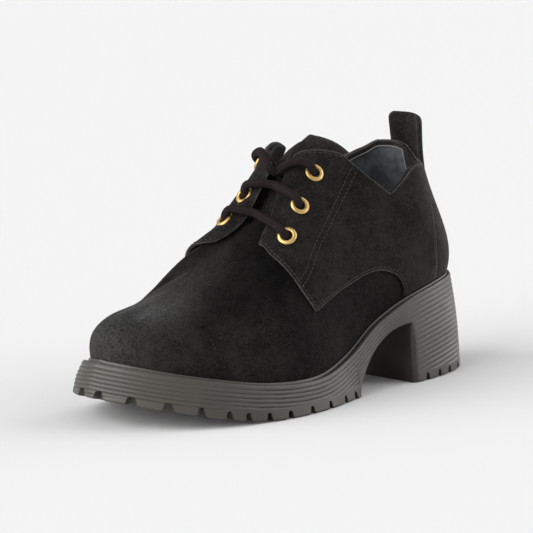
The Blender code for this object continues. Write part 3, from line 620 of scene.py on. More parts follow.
def make_lining(name):
    """Smooth bluish grey lining leather."""
    material, tree, shader, place = new_material(name)
    cloud = noise(tree, place, size=6.0, detail=4.0, roughness=0.6)
    grain = noise(tree, place, size=0.8, detail=2.0)
    base = blend(tree, span(tree, cloud, 0.32, 0.68), LINING_DARK, LINING_LIGHT)
    dress(tree, shader, {"Base Color": base, "Roughness": 0.6, "Specular IOR Level": 0.35},
          grain, strength=0.25, depth=0.1)
    return material


def make_brass(name):
    """Rolled brass with faint tarnish."""
    material, tree, shader, place = new_material(name)
    tarnish = noise(tree, place, size=3.0)
    base = blend(tree, span(tree, tarnish, 0.35, 0.7), BRASS_BRIGHT, BRASS_DULL)
    rough = span(tree, tarnish, 0.3, 0.7, 0.42, 0.54)
    connect(tree, shader, {"Base Color": base, "Metallic": 1.0, "Roughness": rough})
    return material


def make_cord(name):
    """Braided cord: strand tops paler, with painted shade in the gaps between them."""
    material, tree, shader, place = new_material(name)
    fibre = noise(tree, place, size=0.35, detail=2.0)
    strand = number(tree, "MULTIPLY", attribute(tree, "strand"), span(tree, fibre, 0.2, 0.8, 0.5, 1.0))
    base = blend(tree, strand, CORD_GAP_SHADE, CORD_LIGHT)
    dress(tree, shader, {"Base Color": base, "Roughness": 0.9, "Specular IOR Level": 0.08},
          fibre, strength=0.4, depth=0.1)
    return material


def make_thread(name, colour):
    """Sewing thread."""
    material, tree, shader, _ = new_material(name)
    connect(tree, shader, {"Base Color": colour, "Roughness": 0.75, "Specular IOR Level": 0.3})
    return material


SUEDE = make_suede("dark_suede")
RUBBER = make_rubber("sole_rubber")
LINING = make_lining("lining_leather")
BRASS = make_brass("eyelet_brass")
CORD = make_cord("lace_cord")
THREAD = make_thread("seam_thread", (0.042, 0.04, 0.039, 1))
BACK_THREAD = make_thread("backstay_thread", (0.075, 0.073, 0.07, 1))
HEM_THREAD = make_thread("hem_thread", (0.27, 0.264, 0.25, 1))
RIM_THREAD = make_thread("rim_stitch", (0.055, 0.053, 0.05, 1))


# ---- Upper ----

EYELET_HOLE = 2.9
HOLE_REACH = 12.0
# Span in stations and heights over which an eyelet lies flat
FLAT_TURN, FLAT_HEIGHT = 0.1, 0.03


def eyelet_frame(which, s, t):
    """Centre and outward direction on the quarter's face at an eyelet."""
    u = np.array(float(turn(which, s)))
    t = np.array(t)
    centre = panel_face(u, t)
    along = panel_face(u + FLAT_TURN, t) - panel_face(u - FLAT_TURN, t)
    rising = panel_face(u, t + FLAT_HEIGHT) - panel_face(u, t - FLAT_HEIGHT)
    return centre, unit(np.cross(along, rising)) * OUT_SIGN


frames = {which: [eyelet_frame(which, s, t) for s, t in EYELETS[which]] for which in EYELETS}


def pierced(points, faces):
    """Faces of a grid less those inside an eyelet's hole."""
    points = points.reshape(-1, 3)
    kept = np.ones(len(points), bool)
    for centre, out in frames["lat"] + frames["med"]:
        away = points - centre
        side = np.linalg.norm(away - (away @ out)[:, None] * out, axis=1)
        kept &= (side > EYELET_HOLE) | (np.abs(away @ out) > HOLE_REACH)
    return [face for face in faces if kept[face].all()]


# Soft folds: side, first station and height, last station and height, width, depth (below 0 is a ridge)
FOLDS = [
    ("lat", 4.45, 0.56, 4.75, 0.38, 5.0, 0.9),
    ("lat", 4.05, 0.58, 4.15, 0.36, 5.5, 0.7),
    ("lat", 4.95, 0.60, 5.15, 0.45, 4.0, 0.5),
    ("lat", 9.3, 0.62, 8.5, 0.30, 6.0, 0.7),
    ("lat", 9.75, 0.72, 9.3, 0.38, 7.0, -0.5),
    ("lat", 10.1, 0.85, 9.9, 0.55, 6.0, 0.6),
    ("med", 10.1, 0.85, 9.8, 0.60, 6.0, 0.5),
    ("lat", 3.3, 0.22, 2.7, 0.30, 6.0, 0.6),
]
FOLD_POINTS = 24
FOLD_ENDS = 0.07
FOLD_EASE = 0.8


def folds(points, normals):
    """Moves points in or out by the soft folds near them."""
    moved = np.zeros(points.shape[:-1])
    for which, s0, t0, s1, t1, width, depth in FOLDS:
        k = np.linspace(0.0, 1.0, FOLD_POINTS)
        path = lifted(turn(which, s0 + (s1 - s0) * k), t0 + (t1 - t0) * k)
        strength = np.sin(np.pi * (FOLD_ENDS + (1 - 2 * FOLD_ENDS) * k)) ** FOLD_EASE
        gap = np.linalg.norm(points[..., None, :] - path, axis=-1)
        moved -= depth * (strength * np.exp(-(gap / width) ** 2)).max(axis=-1)
    return points + normals * moved[..., None]


def stations(start, end, step, knots=()):
    """Even stations from start to end that include the knots."""
    marks = sorted({start, end, *[k for k in knots if start < k < end]})
    parts = [np.linspace(a, b, max(2, int(round((b - a) / step)) + 1))[:-1] for a, b in zip(marks, marks[1:])]
    return np.concatenate(parts + [[end]])


# Stations of the free edge's corners
KNOTS = [4.41, 5.78, 5.9, 6.04, 7.71, 9.3]


def ease(x, start, end):
    """Smooth step from 0 to 1 between two places."""
    k = np.clip((x - start) / (end - start), 0.0, 1.0)
    return k * k * (3 - 2 * k)


# Vamp's tone: shares of brightness, and the stations or heights over which each comes in; the shade is painted
# shade from the flaps and laces over darker nap
TONE_BASE, TONE_FORE, TONE_BALL, TONE_TOE, TONE_SHADE = 0.55, 0.25, 0.2, 0.2, 0.45
FORE_SPAN, TOE_SPAN = (7.5, 9.5), (11.3, 12.7)
BALL_SPAN, BALL_SLANT, BALL_HEIGHTS = (10.8, 11.6), 1.2, (0.55, 0.8)
SHADE_START, SHADE_END, SHADE_HEIGHTS = (7.5, 8.5), (9.8, 11.2), (0.3, 0.5)
RIDGE_SHARE, RIDGE_SPAN, RIDGE_HEIGHTS = 0.7, (9.4, 10.0), (0.68, 0.8)
# Toe's scuffs: a patch by middle and spread, and an even rub that rises towards the crown, where it is partly
# painted sheen
PATCH_MOST, PATCH_STATION, PATCH_HEIGHT = 0.8, (11.75, 0.8), (0.72, 0.2)
SCUFF_LOW, SCUFF_SHEEN_RISE, SCUFF_SPAN, SCUFF_HEIGHTS = 0.46, 0.36, (11.2, 12.7), (0.6, 0.9)
# Quarters' tone, and paler rows towards the heel by share, first and last station: the first rubbed nap, the
# second painted sheen on the heel's side seen at a grazing angle
QUARTER_TONE = 0.82
HEEL_RUB_AND_SHEEN = [(0.22, 2.8, 4.6), (0.9, 2.0, 3.0)]


def vamp_tone(s, t):
    """Brushed pale toe, and painted shade from the flaps and laces over darker nap below the quarters and beside
    the throat.
    """
    ball = ease(s, BALL_SPAN[0] - BALL_SLANT * ease(t, *BALL_HEIGHTS), BALL_SPAN[1])
    tone = TONE_BASE + TONE_FORE * ease(s, *FORE_SPAN) + TONE_BALL * ball + TONE_TOE * ease(s, *TOE_SPAN)
    ridge = RIDGE_SHARE * ease(t, *RIDGE_HEIGHTS) * ease(s, *RIDGE_SPAN)
    # painted shade where the flaps and laces shade the vamp, over nap that is darker there too
    shade = ease(t, *SHADE_HEIGHTS) * (1 - ridge) * ease(s, *SHADE_START) * (1 - ease(s, *SHADE_END))
    return tone - TONE_SHADE * shade


def hump(x, middle, spread):
    return np.exp(-((x - middle) / spread) ** 2)


def toe_scuff_and_sheen(s, t):
    """Nap brushed pale on the toe's crown and end; its rise towards the crown is partly painted sheen."""
    patch = PATCH_MOST * hump(s, *PATCH_STATION) * hump(t, *PATCH_HEIGHT)
    # the rise with height is partly painted sheen on the toe's top
    return np.maximum(patch, (SCUFF_LOW + SCUFF_SHEEN_RISE * ease(t, *SCUFF_HEIGHTS)) * ease(s, *SCUFF_SPAN))


def quarter_tone(s):
    """Nap rubbed paler round the heel, and painted sheen on the heel's side seen at a grazing angle."""
    return QUARTER_TONE + sum(share * (1 - ease(s, start, end)) for share, start, end in HEEL_RUB_AND_SHEEN)


# About the length of a station and of a section's whole height
STATION_MM, HEIGHT_MM = 24.0, 110.0
UPPER_STEP, UPPER_ROWS, UPPER_WELD = 0.06, 49, 0.06
# Pale rim of the upper, as far forward as a station
UPPER_RUB, UPPER_RUB_END = 0.2, 6.0


def make_upper():
    """Hollow wall with vamp, inner quarters and lining; suede outside, lining inside."""
    side = stations(0.0, float(TOE), UPPER_STEP, KNOTS)
    u = np.concatenate([side, ROUND - side[-2:0:-1]])
    share = np.linspace(0.0, 1.0, UPPER_ROWS)
    edge = free_edge(u)[:, None]
    t = edge * share
    points, normals = skin(u[:, None], t)
    points = folds(points, normals)
    piece = make_object("suede_upper", points, pierced(points, grid_faces(*t.shape, closed=True)))
    s = station(u)[:, None] + 0 * t
    rubbed = UPPER_RUB * np.exp((t - edge) * HEIGHT_MM) * (s < UPPER_RUB_END)
    paint(piece, rubbed, toe_scuff_and_sheen(s, t), vamp_tone(s, t))
    for material in (SUEDE, LINING):
        piece.data.materials.append(material)
    face_out(piece, normals)
    tidy_mesh(piece, UPPER_WELD, turn_out=False)
    thicken(piece, WALL, rim=0.35, inside=1)
    return piece


def distance_to(points, border):
    """Distance of each point from the nearest point of a border."""
    tree = kdtree.KDTree(len(border))
    for i, p in enumerate(border):
        tree.insert(p, i)
    tree.balance()
    return np.array([tree.find(p)[2] for p in points.reshape(-1, 3)]).reshape(points.shape[:-1])


def border_of(grid):
    return np.concatenate([grid[0], grid[-1], grid[:, 0], grid[:, -1]])


# Panel's rolled edge and the dip along its seams by depth and width, and its rubbed edge's width
EDGE_ROLL, ROLL_WIDTH = 0.4, 1.4
SEAM_DIP, DIP_WIDTH = 0.28, 0.75
RUB_WIDTH = 0.6
RUB_FALL = 1.5


def rub(points, border, width):
    """Wear that fades away from a border."""
    return np.exp(-(distance_to(points, border) / width) ** RUB_FALL)


def make_panel(name, u, t, worn, seams):
    """Suede overlay on the upper from a grid of turns and heights.

    Its edges are rolled, the worn borders pale, and it dips along its seams.
    """
    points, normals = skin(u, t, PANEL_OUT + flap_open(u, t))
    points = folds(points, normals)
    sink = EDGE_ROLL * np.clip(1 - distance_to(points, border_of(points)) / ROLL_WIDTH, 0, 1) ** 2
    if len(seams):
        sink = sink + SEAM_DIP * hump(distance_to(points, seams), 0.0, DIP_WIDTH)
    rubbed = rub(points, worn(points), RUB_WIDTH)
    points = points - normals * sink[..., None]
    return make_sheet(name, points, normals, pierced(points, grid_faces(*u.shape)), SUEDE, PANEL_OUT,
                      rim=0.4, edge=rubbed, tone=quarter_tone(station(u)))


# Spacing of the panels' grids, and the passes in which leaning columns find the free edge
QUARTER_STEP, QUARTER_ROWS = 0.045, 90
BACKSTAY_COLUMNS, BACKSTAY_ROWS = 121, 80
SETTLE = 12


def quarter_grid(which):
    """Turns and heights of a quarter: rear columns lean with the backstay, front ones stand straight."""
    rear, inner, end = BACKSTAY[0][1], FLAP_INNER[which][0][0], FLAP_INNER[which][-1][0]
    base = stations(rear, end, QUARTER_STEP, KNOTS + [SIDE_STATION, QUARTER_FOOT[-1][0], inner])
    share = np.linspace(0.0, 1.0, QUARTER_ROWS)

    def lean(b, t):
        edge = backstay_at(t) + SEAM
        k = (b - rear) / (SIDE_STATION - rear)
        return np.where(b < SIDE_STATION, edge + (SIDE_STATION - edge) * k, b)

    def head(s):
        return np.where(s <= inner, free_edge(turn(which, s)), flap_inner_at[which](s))

    top = np.full(len(base), 0.7)
    for _ in range(SETTLE):
        top = head(lean(base, top))
    foot = np.where(base < QUARTER_FOOT[-1][0], quarter_foot_at(base), quarter_front_at[which](base))
    foot = np.maximum(np.where(base <= SIDE_STATION, PANEL_FOOT, foot), PANEL_FOOT)
    t = foot[:, None] + (top - foot)[:, None] * share
    return turn(which, lean(base[:, None], t)), t


def make_backstay():
    """Counter panel round the heel, between the quarters."""
    share = np.linspace(0.0, 1.0, BACKSTAY_ROWS)
    across = np.linspace(-1.0, 1.0, BACKSTAY_COLUMNS)[:, None]
    edge = np.full(across.shape, 1.5)
    for _ in range(SETTLE):
        top = free_edge(across * edge)
        edge = backstay_at(top) - SEAM
    t = PANEL_FOOT + (top - PANEL_FOOT) * share
    u = across * (backstay_at(t) - SEAM)
    return make_panel("suede_backstay", u, t, lambda grid: grid[:, -1], ())


# Facing's depth below the collar by signed turn: inner flap, inner side, back patch, outer side
FACING_DEPTH = curve([(-8.3, 16.0), (-5.9, 16.0), (-5.2, 3.0), (0.0, 2.6), (0.1, 20.0), (1.2, 20.0), (1.7, 4.2),
                      (5.7, 4.2)])
FACING_INNER, FACING_OUTER, FACING_STEP, FACING_ROWS = 8.3, 5.7, 0.05, 22
# Extra stations where its depth changes at the back
BACK_KNOTS = [0.02, 0.04, 0.06, 0.08]
FACING_WALL = 0.6
FACING_DROP = 0.2
FACING_TONE = 1.6
FACING_RUB = 0.7
# Turns between which its hem is sewn, and the flap's paler share beyond another
HEM_TURNS = (-5.2, 1.7)
FLAP_TURN, FLAP_SCUFF = -5.4, 0.8


def make_facing():
    """Suede band sewn inside the collar, with the line and directions of its hem."""
    inner = stations(0.0, FACING_INNER, FACING_STEP, KNOTS)
    outer = stations(0.0, FACING_OUTER, FACING_STEP, BACK_KNOTS + KNOTS)
    u = np.concatenate([-inner[:0:-1], outer])[:, None]
    top = free_edge(u)
    rise = np.linalg.norm(lifted(u, top) - lifted(u, top - FLAT_HEIGHT), axis=-1) / FLAT_HEIGHT
    t = top - (FACING_DROP + FACING_DEPTH(u) * np.linspace(1.0, 0.0, FACING_ROWS)) / rise
    points, normals = skin(u + 0 * t, t, np.full(t.shape, -WALL))
    piece = make_sheet("suede_facing", points, normals, pierced(points, grid_faces(*t.shape)), SUEDE,
                       FACING_WALL, rim=0.2, segments=1,
                       edge=hump(distance_to(points, points[:, 0]), 0.0, FACING_RUB),
                       scuff=FLAP_SCUFF * (u < FLAP_TURN) + 0 * t, tone=FACING_TONE)
    hem = (u[:, 0] > HEM_TURNS[0]) & (u[:, 0] < HEM_TURNS[1])
    return piece, points[hem, 0] - normals[hem, 0] * FACING_WALL, -normals[hem, 0]


def on_panel(which, rows, inset=0.0, count=120):
    """Points and directions on a panel's face along rows of station and height, moved in from an edge."""
    s, t = np.array(rows, float).T
    length = np.append(0, np.cumsum(np.hypot(np.diff(s) * STATION_MM, np.diff(t) * HEIGHT_MM)))
    k = np.linspace(0, length[-1], count)
    u = turn(which, curve(np.stack([length, s], -1))(k))
    t = curve(np.stack([length, t], -1))(k)
    points, normals = skin(u, t, PANEL_OUT + flap_open(u, t))
    across = unit(np.cross(normals, np.gradient(points, axis=0)))
    return points + across * (inset if which == "lat" else -inset), normals


# Seams on each quarter: rows of station and height, and how far in from them the thread runs
EYESTAY = [(6.18, 0.652), (6.74, 0.559), (7.31, 0.492), (7.68, 0.438), (7.9, 0.425)]
EYESTAY_HEAD = {"lat": [(5.76, 0.741)], "med": [(6.06, 0.676)]}
QUARTER_SEAMS = {
    which: [(QUARTER_FRONT[which][:-1], -2.0), (QUARTER_FOOT[1:], -2.0), (FLAP_TOP[which], 2.2),
            (EYESTAY_HEAD[which] + EYESTAY, 0.0), (EYESTAY_HEAD[which] + EYESTAY, 3.4)]
    for which in SIDES}


def make_quarter(which, name):
    """Quarter with its flap, paler along its open edges."""
    seams = np.concatenate([on_panel(which, rows, inset)[0] for rows, inset in QUARTER_SEAMS[which]])
    u, t = quarter_grid(which)
    low = (station(u[:, -1]) > SIDE_STATION).argmax()

    def worn(grid):
        return np.concatenate([grid[:, -1], grid[-1], grid[low:, 0], grid[0]])
    return make_panel(name, u, t, worn, seams)


upper = make_upper()
quarters = {"lat": make_quarter("lat", "suede_quarter_lateral"),
            "med": make_quarter("med", "suede_quarter_medial")}
backstay = make_backstay()
facing, hem_points, hem_facing = make_facing()


# ---- Tongue, insole and pull tab ----

TONGUE_FRONT = 10.2
TONGUE_TOP = 7.05
TONGUE_HALF = (0.139, 0.185)
TONGUE_COLUMNS, TONGUE_ROWS, TONGUE_FREE_ROWS = 61, 70, 8
# Round of its top, upward lean of its free end, and passes that smooth it across
TONGUE_ROUND, TONGUE_POWER = 1.2, 1.6
TONGUE_LEAN = 0.5
TONGUE_SMOOTH = 14
TONGUE_RUB, TONGUE_TONE = 0.6, 1.2
# Length of its free top from inner to outer side
TONGUE_FREE = curve([(-1.0, 2.0), (-0.5, 2.4), (-0.1, 3.0), (0.4, 4.9), (0.75, 5.2), (1.0, 3.5)])
# Padding that rounds the tongue up between the flaps, by station and from inner to outer side
TONGUE_PUFF = curve([(6.7, 0.0), (7.1, 1.8), (7.5, 4.2), (7.8, 4.2), (8.05, 2.4), (8.35, 0.0)])
TONGUE_SWELL = curve([(-1.0, 0.0), (-0.7, 0.4), (-0.3, 1.0), (0.05, 1.0), (0.35, 0.0)])


def smoothed(rows, passes):
    """Rows averaged with their neighbours, the first and last held."""
    for _ in range(passes):
        rows[1:-1] = 0.25 * rows[:-2] + 0.5 * rows[1:-1] + 0.25 * rows[2:]
    return rows


def make_tongue():
    """Tongue below the flaps, its free top rising past the last eyelets."""
    w = np.linspace(-1.0, 1.0, TONGUE_COLUMNS)[:, None]
    share = np.linspace(0.0, 1.0, TONGUE_ROWS)
    end = TONGUE_TOP - TONGUE_ROUND * np.abs(w) ** TONGUE_POWER
    s = TONGUE_FRONT + (end - TONGUE_FRONT) * share
    t = 1.0 - (TONGUE_HALF[0] + (TONGUE_HALF[1] - TONGUE_HALF[0]) * share) * np.abs(w)
    u = np.where(w >= 0, s, ROUND - s)
    out = TONGUE_PUFF(s) * TONGUE_SWELL(w) - WALL - TONGUE_GAP
    points = plain_last(u, t) + cross_of(plain_last, u, t) * out[..., None]
    rising = unit(unit(points[:, -1] - points[:, -8]) + TONGUE_LEAN * UP) * TONGUE_FREE(w)
    free = points[:, -1:] + rising[:, None] * np.linspace(0, 1, TONGUE_FREE_ROWS + 1)[1:, None]
    points = smoothed(np.concatenate([points, free], axis=1), TONGUE_SMOOTH)
    return make_sheet("suede_tongue", points, np.broadcast_to(UP, points.shape), grid_faces(*points.shape[:2]),
                      SUEDE, TONGUE_WALL, rim=0.8, segments=4,
                      edge=TONGUE_RUB * rub(points, border_of(points), 1.0), tone=TONGUE_TONE)


INSOLE_STEP, INSOLE_COLUMNS, INSOLE_END = 0.12, 13, 0.02


def make_insole():
    """Loose footbed: the base line drawn in, resting on the sole."""
    s = stations(INSOLE_END, TOE - INSOLE_END, INSOLE_STEP)
    ends = [around(turn(which, s)) - outward(turn(which, s)) * INSOLE_INSET for which in SIDES]
    share = np.linspace(0.0, 1.0, INSOLE_COLUMNS)[:, None]
    plan = ends[0][:, None] + (ends[1] - ends[0])[:, None] * share
    z = feather_at(s)[:, 4] + INSOLE_GAP + INSOLE_WALL
    points = raised(plan, np.broadcast_to(z[:, None], plan.shape[:2]))
    return make_sheet("lining_insole", points, np.broadcast_to(UP, points.shape), grid_faces(*points.shape[:2]),
                      LINING, INSOLE_WALL, rim=0.5)


TAB_WALL = 1.3
TAB_FOOT, TAB_TOP = 109.0, 141.6
TAB_HALF = (0.78, 1.03)
TAB_SHIFT = 0.06
TAB_LEAN = 1.3
TAB_INNER = PANEL_OUT + 0.6
TAB_OUTER = TAB_INNER + 0.5 + 2 * TAB_WALL
TAB_SINK = 1.5
TAB_BEND = 12
# Top corners: height over which the sides draw in, and by what share
TAB_CORNER, TAB_DRAW = 5.0, 0.24
TAB_RUB, TAB_RUB_WIDTH = 0.5, 0.9
LEVEL_PASSES = 30


def level_on_last(u, z):
    """Height up the section that reaches a level."""
    low, high = np.full(u.shape, 0.3), np.ones(u.shape)
    for _ in range(LEVEL_PASSES):
        middle = (low + high) / 2
        under = plain_last(u, middle)[..., 2] < z
        low, high = np.where(under, middle, low), np.where(under, high, middle)
    return (low + high) / 2


def tab_leg(out, rows=26, across=31):
    """Grid of one leg of the tab at a distance off the last, from its sewn foot to the top."""
    k = np.linspace(0.0, 1.0, rows)
    share = np.linspace(-1.0, 1.0, across)[:, None]
    u = share * (TAB_HALF[0] + (TAB_HALF[1] - TAB_HALF[0]) * k) + TAB_SHIFT * k
    top = TAB_TOP - TAB_LEAN * np.maximum(share, 0) ** 2
    t = level_on_last(u, TAB_FOOT + (top - TAB_FOOT) * k)
    n = cross_of(plain_last, u, t)
    return plain_last(u, t) + n * (out - TAB_SINK * (1 - k) ** 1.5)[:, None], n


def make_tab():
    """Strip folded into a loop behind the backstay, its top corners rounded."""
    outer, n = tab_leg(TAB_OUTER)
    inner, _ = tab_leg(TAB_INNER)
    radius = (TAB_OUTER - TAB_INNER) / 2
    bend = np.linspace(0, np.pi, TAB_BEND + 2)[1:-1, None]
    middle = outer[:, -1] - n[:, -1] * radius
    fold = middle[:, None] + n[:, -1:] * radius * np.cos(bend) + UP * radius * np.sin(bend)
    points = np.concatenate([outer, fold, inner[:, ::-1]], axis=1)
    below = points[..., 2].max(axis=1, keepdims=True) - points[..., 2]
    drawn = TAB_DRAW * np.clip(1 - below / TAB_CORNER, 0, 1) ** 3
    points = points + (points[len(points) // 2] - points) * drawn[..., None]
    piece = make_object("suede_tab", points, grid_faces(*points.shape[:2]))
    paint(piece, TAB_RUB * rub(points, border_of(points), TAB_RUB_WIDTH))
    # the outer leg, first in the grid, looks back past the heel
    if piece.data.polygons[5].normal.x > 0:
        piece.data.flip_normals()
    piece.data.materials.append(SUEDE)
    thicken(piece, TAB_WALL, rim=0.4, segments=3)
    return piece


# ---- Sole ----

# Rim beside the upper, from inside out: a thin lip, a stitched channel and a round shoulder
LIP_START = curve([(0.0, 1.75), (3.7, 1.75), (4.4, 0.3), (13.0, 0.3)])
LIP_WIDTH = curve([(0.0, 0.7), (3.7, 0.7), (4.4, 1.0), (13.0, 1.0)])
LIP_PROFILE = [(-0.4, -1.0), (0.0, 0.35), (0.25, 0.75), (0.55, 0.8), (0.8, 0.5), (0.95, -0.4), (1.1, -0.95)]
SHOULDER_PROFILE = [(1.2, -0.95), (1.05, -0.4), (0.8, -0.08), (0.45, -0.1), (0.15, -0.4)]
# Least distance of the shoulder past the lip's start, in lip widths, and the depth where the side begins
SHOULDER_CLEAR = 1.15
SHOULDER = 0.9
RIB_START = 1.6
FORE_PITCH = 2.15
FORE_LUGS = curve([(4.05, 0.95), (5.9, 0.74), (7.0, 0.66), (9.0, 0.68), (10.5, 0.8), (13.0, 0.92)])
HEEL_PITCH = 2.7
HEEL_SMOOTH = 5.4
RIB_DEPTH = 0.5
GROOVE = 0.18
# Ribs start within a quarter of a pitch and end over a height in millimetres
RIB_EASE, RIB_END = 4, 0.8
RIB_FADE = curve([(0.0, 1.0), (3.0, 1.0), (3.9, 0.15), (4.2, 0.0), (4.8, 0.15), (5.6, 0.7), (6.2, 1.0),
                  (13.0, 1.0)])
BULGE = curve([(0.0, 1.3), (2.5, 1.0), (4.0, 0.2), (9.0, 0.3), (11.5, 1.1), (13.0, 1.2)])
FOOT_ROUND = 1.0
BREAST_ROUND = 3.4


def side_step(s, depth, total, left):
    """Step of the sole's side at a depth below its rim, with a height left above its lower edge."""
    step = BULGE(s) * np.sin(np.pi * np.clip(depth / total, 0, 1))
    step = step - FOOT_ROUND * np.clip(1 - left / FOOT_ROUND, 0, 1) ** 2
    limit = np.where(s <= BREAST, total - HEEL_SMOOTH, FORE_LUGS(s) * total)
    count = (depth - RIB_START) / np.where(s <= BREAST, HEEL_PITCH, FORE_PITCH)
    groove = hump(count % 1.0, 0.5, GROOVE)
    shown = np.clip(count * RIB_EASE, 0, 1) * np.clip((limit - depth) / RIB_END, 0, 1)
    return step - RIB_DEPTH * RIB_FADE(s) * groove * shown


def rim_rows(u, s, high):
    """Rows of the rim from the upper out to the shoulder."""
    start, width = LIP_START(s), LIP_WIDTH(s)
    rows = [(start + width * a, high + b) for a, b in LIP_PROFILE]
    rows += [(np.maximum(LEDGE - a, start + width * SHOULDER_CLEAR), high + b) for a, b in SHOULDER_PROFILE]
    plan, out = around(u), outward(u)
    return np.stack([raised(plan + out * a[:, None], z) for a, z in rows], axis=1)


def round_breast(block, radius):
    """Rounds the heel's two front corners, a radius for each row, and adds the rows of points past them."""
    def corner(columns):
        tip = columns[-1]
        back = unit(columns[-5] - tip)
        across = unit(block[0] - block[-1]) if columns is block else unit(block[-1] - block[0])
        start, end = tip + back * radius, tip + across * radius

        def bend(q):
            return (1 - q) ** 2 * start + 2 * q * (1 - q) * tip + q * q * end
        gap = np.linalg.norm(columns - tip, axis=-1, keepdims=True) / np.maximum(radius, 1e-6)
        moved = np.where(gap < 1, bend(0.5 * (1 - np.minimum(gap, 1))), columns)
        return np.concatenate([moved, np.stack([bend(q) for q in (0.6, 0.7, 0.8, 0.9, 1.0)])])
    half = len(block) // 2
    outer = corner(block)[half:]
    inner = corner(block[::-1])[half + 1:][::-1]
    return np.concatenate([inner, outer])


NOTCH_FOOT = curve([(0.0, 3.8), (9.5, 4.0), (10.5, 4.8), (11.2, 6.2), (12.2, 6.8), (13.0, 6.2)])
NOTCH_TOP = curve([(0.0, 2.4), (9.5, 2.6), (10.5, 3.2), (11.2, 4.3), (12.2, 4.8), (13.0, 4.2)])
NOTCH_DEPTH = curve([(0.0, 4.0), (0.8, 4.5), (1.6, 7.0), (2.6, 13.0), (11.4, 13.0), (12.4, 6.5), (13.0, 5.0)])
NOTCH_HEIGHT = 4.5
NOTCH_PROUD = 4.0


def notch(which, s):
    """Slot between two lugs, wider below, with a round top and rounded lug corners."""
    u = np.array(turn(which, s))
    edge = sole_wall(u, GROUND(np.array(s)), np.array(0.0))
    out = np.append(outward(u), 0.0)
    along = np.array([-out[1], out[0], 0.0])
    foot, top = NOTCH_FOOT(s) / 2, NOTCH_TOP(s) / 2
    # half of the slot's outline, across and up
    half = [(foot + 1.2, -6.0), (foot + 1.0, 0.0), (foot + 0.3, 0.3), (foot, 1.0), (top, NOTCH_HEIGHT - 1.0),
            (top - 0.3, NOTCH_HEIGHT - 0.3), (top - 1.0, NOTCH_HEIGHT)]
    profile = half + [(-a, b) for a, b in half[::-1]]
    loop = [edge + out * NOTCH_PROUD + along * a + UP * b for a, b in profile]
    return prism(loop, -(NOTCH_PROUD + NOTCH_DEPTH(s)) * out)


SOLE_STEP, BAND_ROWS, BLOCK_ROWS, SOLE_WELD = (0.06, 0.055), 56, 78, 0.002
# Stations where the arch meets the ground and the toe leaves it
SOLE_KNOTS = [5.92, 8.4]
# Height below the band over which the heel's front corners become round
BREAST_FADE, BREAST_POWER = 9.0, 0.6


def make_sole():
    """Moulded unit: ribbed band all round, arch, block heel hung below it, and notches between lugs."""
    heel = stations(0.0, BREAST, SOLE_STEP[0])
    fore = stations(BREAST, float(TOE), SOLE_STEP[1], SOLE_KNOTS)
    side = np.concatenate([heel, fore[1:]])
    u = np.concatenate([side, ROUND - side[-2:0:-1]])
    s = station(u)
    total = len(u)
    high, low = feather_at(s)[:, 4], UNDERSIDE(s)
    depth = SHOULDER + (high - low - SHOULDER)[:, None] * np.linspace(0.0, 1.0, BAND_ROWS)
    over_heel = (s <= BREAST)[:, None]
    whole = np.where(over_heel, high[:, None], (high - low)[:, None]) + 0 * depth
    wide_s, wide_u = s[:, None] + 0 * depth, u[:, None] + 0 * depth
    wall = sole_wall(wide_u, high[:, None] - depth, side_step(wide_s, depth, whole, whole - depth))
    band = np.concatenate([rim_rows(u, s, high), wall], axis=1)
    rows = band.shape[1]
    faces = grid_faces(total, rows, closed=True)
    breast = len(heel) - 1
    last = len(side) - 1

    def strip(start, end, row):
        for i in range(start, end):
            ring = [i, i + 1, (total - i - 1) % total, (total - i) % total]
            faces.append([k * rows + row for k in dict.fromkeys(ring)])

    strip(0, last, 0)
    strip(breast, last, rows - 1)
    ring = [total - i for i in range(breast, 0, -1)] + list(range(breast + 1))
    z = low[ring][:, None] * (1 - np.linspace(0.0, 1.0, BLOCK_ROWS))
    ring_s, ring_high = s[ring][:, None] + 0 * z, high[ring][:, None] + 0 * z
    step = side_step(ring_s, ring_high - z, ring_high, z)
    block = sole_wall(u[ring][:, None] + 0 * z, z, step)
    radius = BREAST_ROUND * np.clip((block[0, 0, 2] - block[0, :, 2]) / BREAST_FADE, 0, 1) ** BREAST_POWER
    block = round_breast(block, radius[:, None])
    start = total * rows
    faces += grid_faces(len(block), block.shape[1], closed=True, start=start)
    middle = len(block) // 2
    for k in range(middle):
        ring = [middle - k, middle - k - 1, middle + k + 1, middle + k]
        faces.append([start + c * block.shape[1] + block.shape[1] - 1 for c in dict.fromkeys(ring)])
    points = np.concatenate([band.reshape(-1, 3), block.reshape(-1, 3)])
    piece = make_object("rubber_sole", points, faces)
    tidy_mesh(piece, SOLE_WELD)
    piece.data.materials.append(RUBBER)
    cut(piece, [notch(which, at) for at in FORE_SLOTS + HEEL_SLOTS for which in SIDES], "notches")
    return piece


tongue = make_tongue()
insole = make_insole()
tab = make_tab()
sole = make_sole()


# ---- Eyelets and lace ----

# Ring outside, barrel through the layers and a flange clinched on the lining
EYELET_PROFILE = [(2.75, -3.8), (2.75, 0.9), (2.95, 1.25), (3.5, 1.5), (4.2, 1.45), (4.8, 1.15), (5.15, 0.75),
                  (5.2, 0.45), (5.0, 0.3), (3.3, 0.3), (3.3, -3.3), (5.2, -3.4), (5.4, -3.6), (5.2, -3.85),
                  (3.1, -4.0)]


def geometry_tree(name, inputs):
    """Empty Geometry Nodes tree with a mesh in, a mesh out and named inputs."""
    tree = bpy.data.node_groups.new(name, "GeometryNodeTree")
    tree.interface.new_socket("Geometry", in_out="INPUT", socket_type="NodeSocketGeometry")
    for label, kind in inputs:
        tree.interface.new_socket(label, in_out="INPUT", socket_type=kind)
    tree.interface.new_socket("Geometry", in_out="OUTPUT", socket_type="NodeSocketGeometry")
    return tree, tree.nodes.new("NodeGroupInput"), tree.nodes.new("NodeGroupOutput")


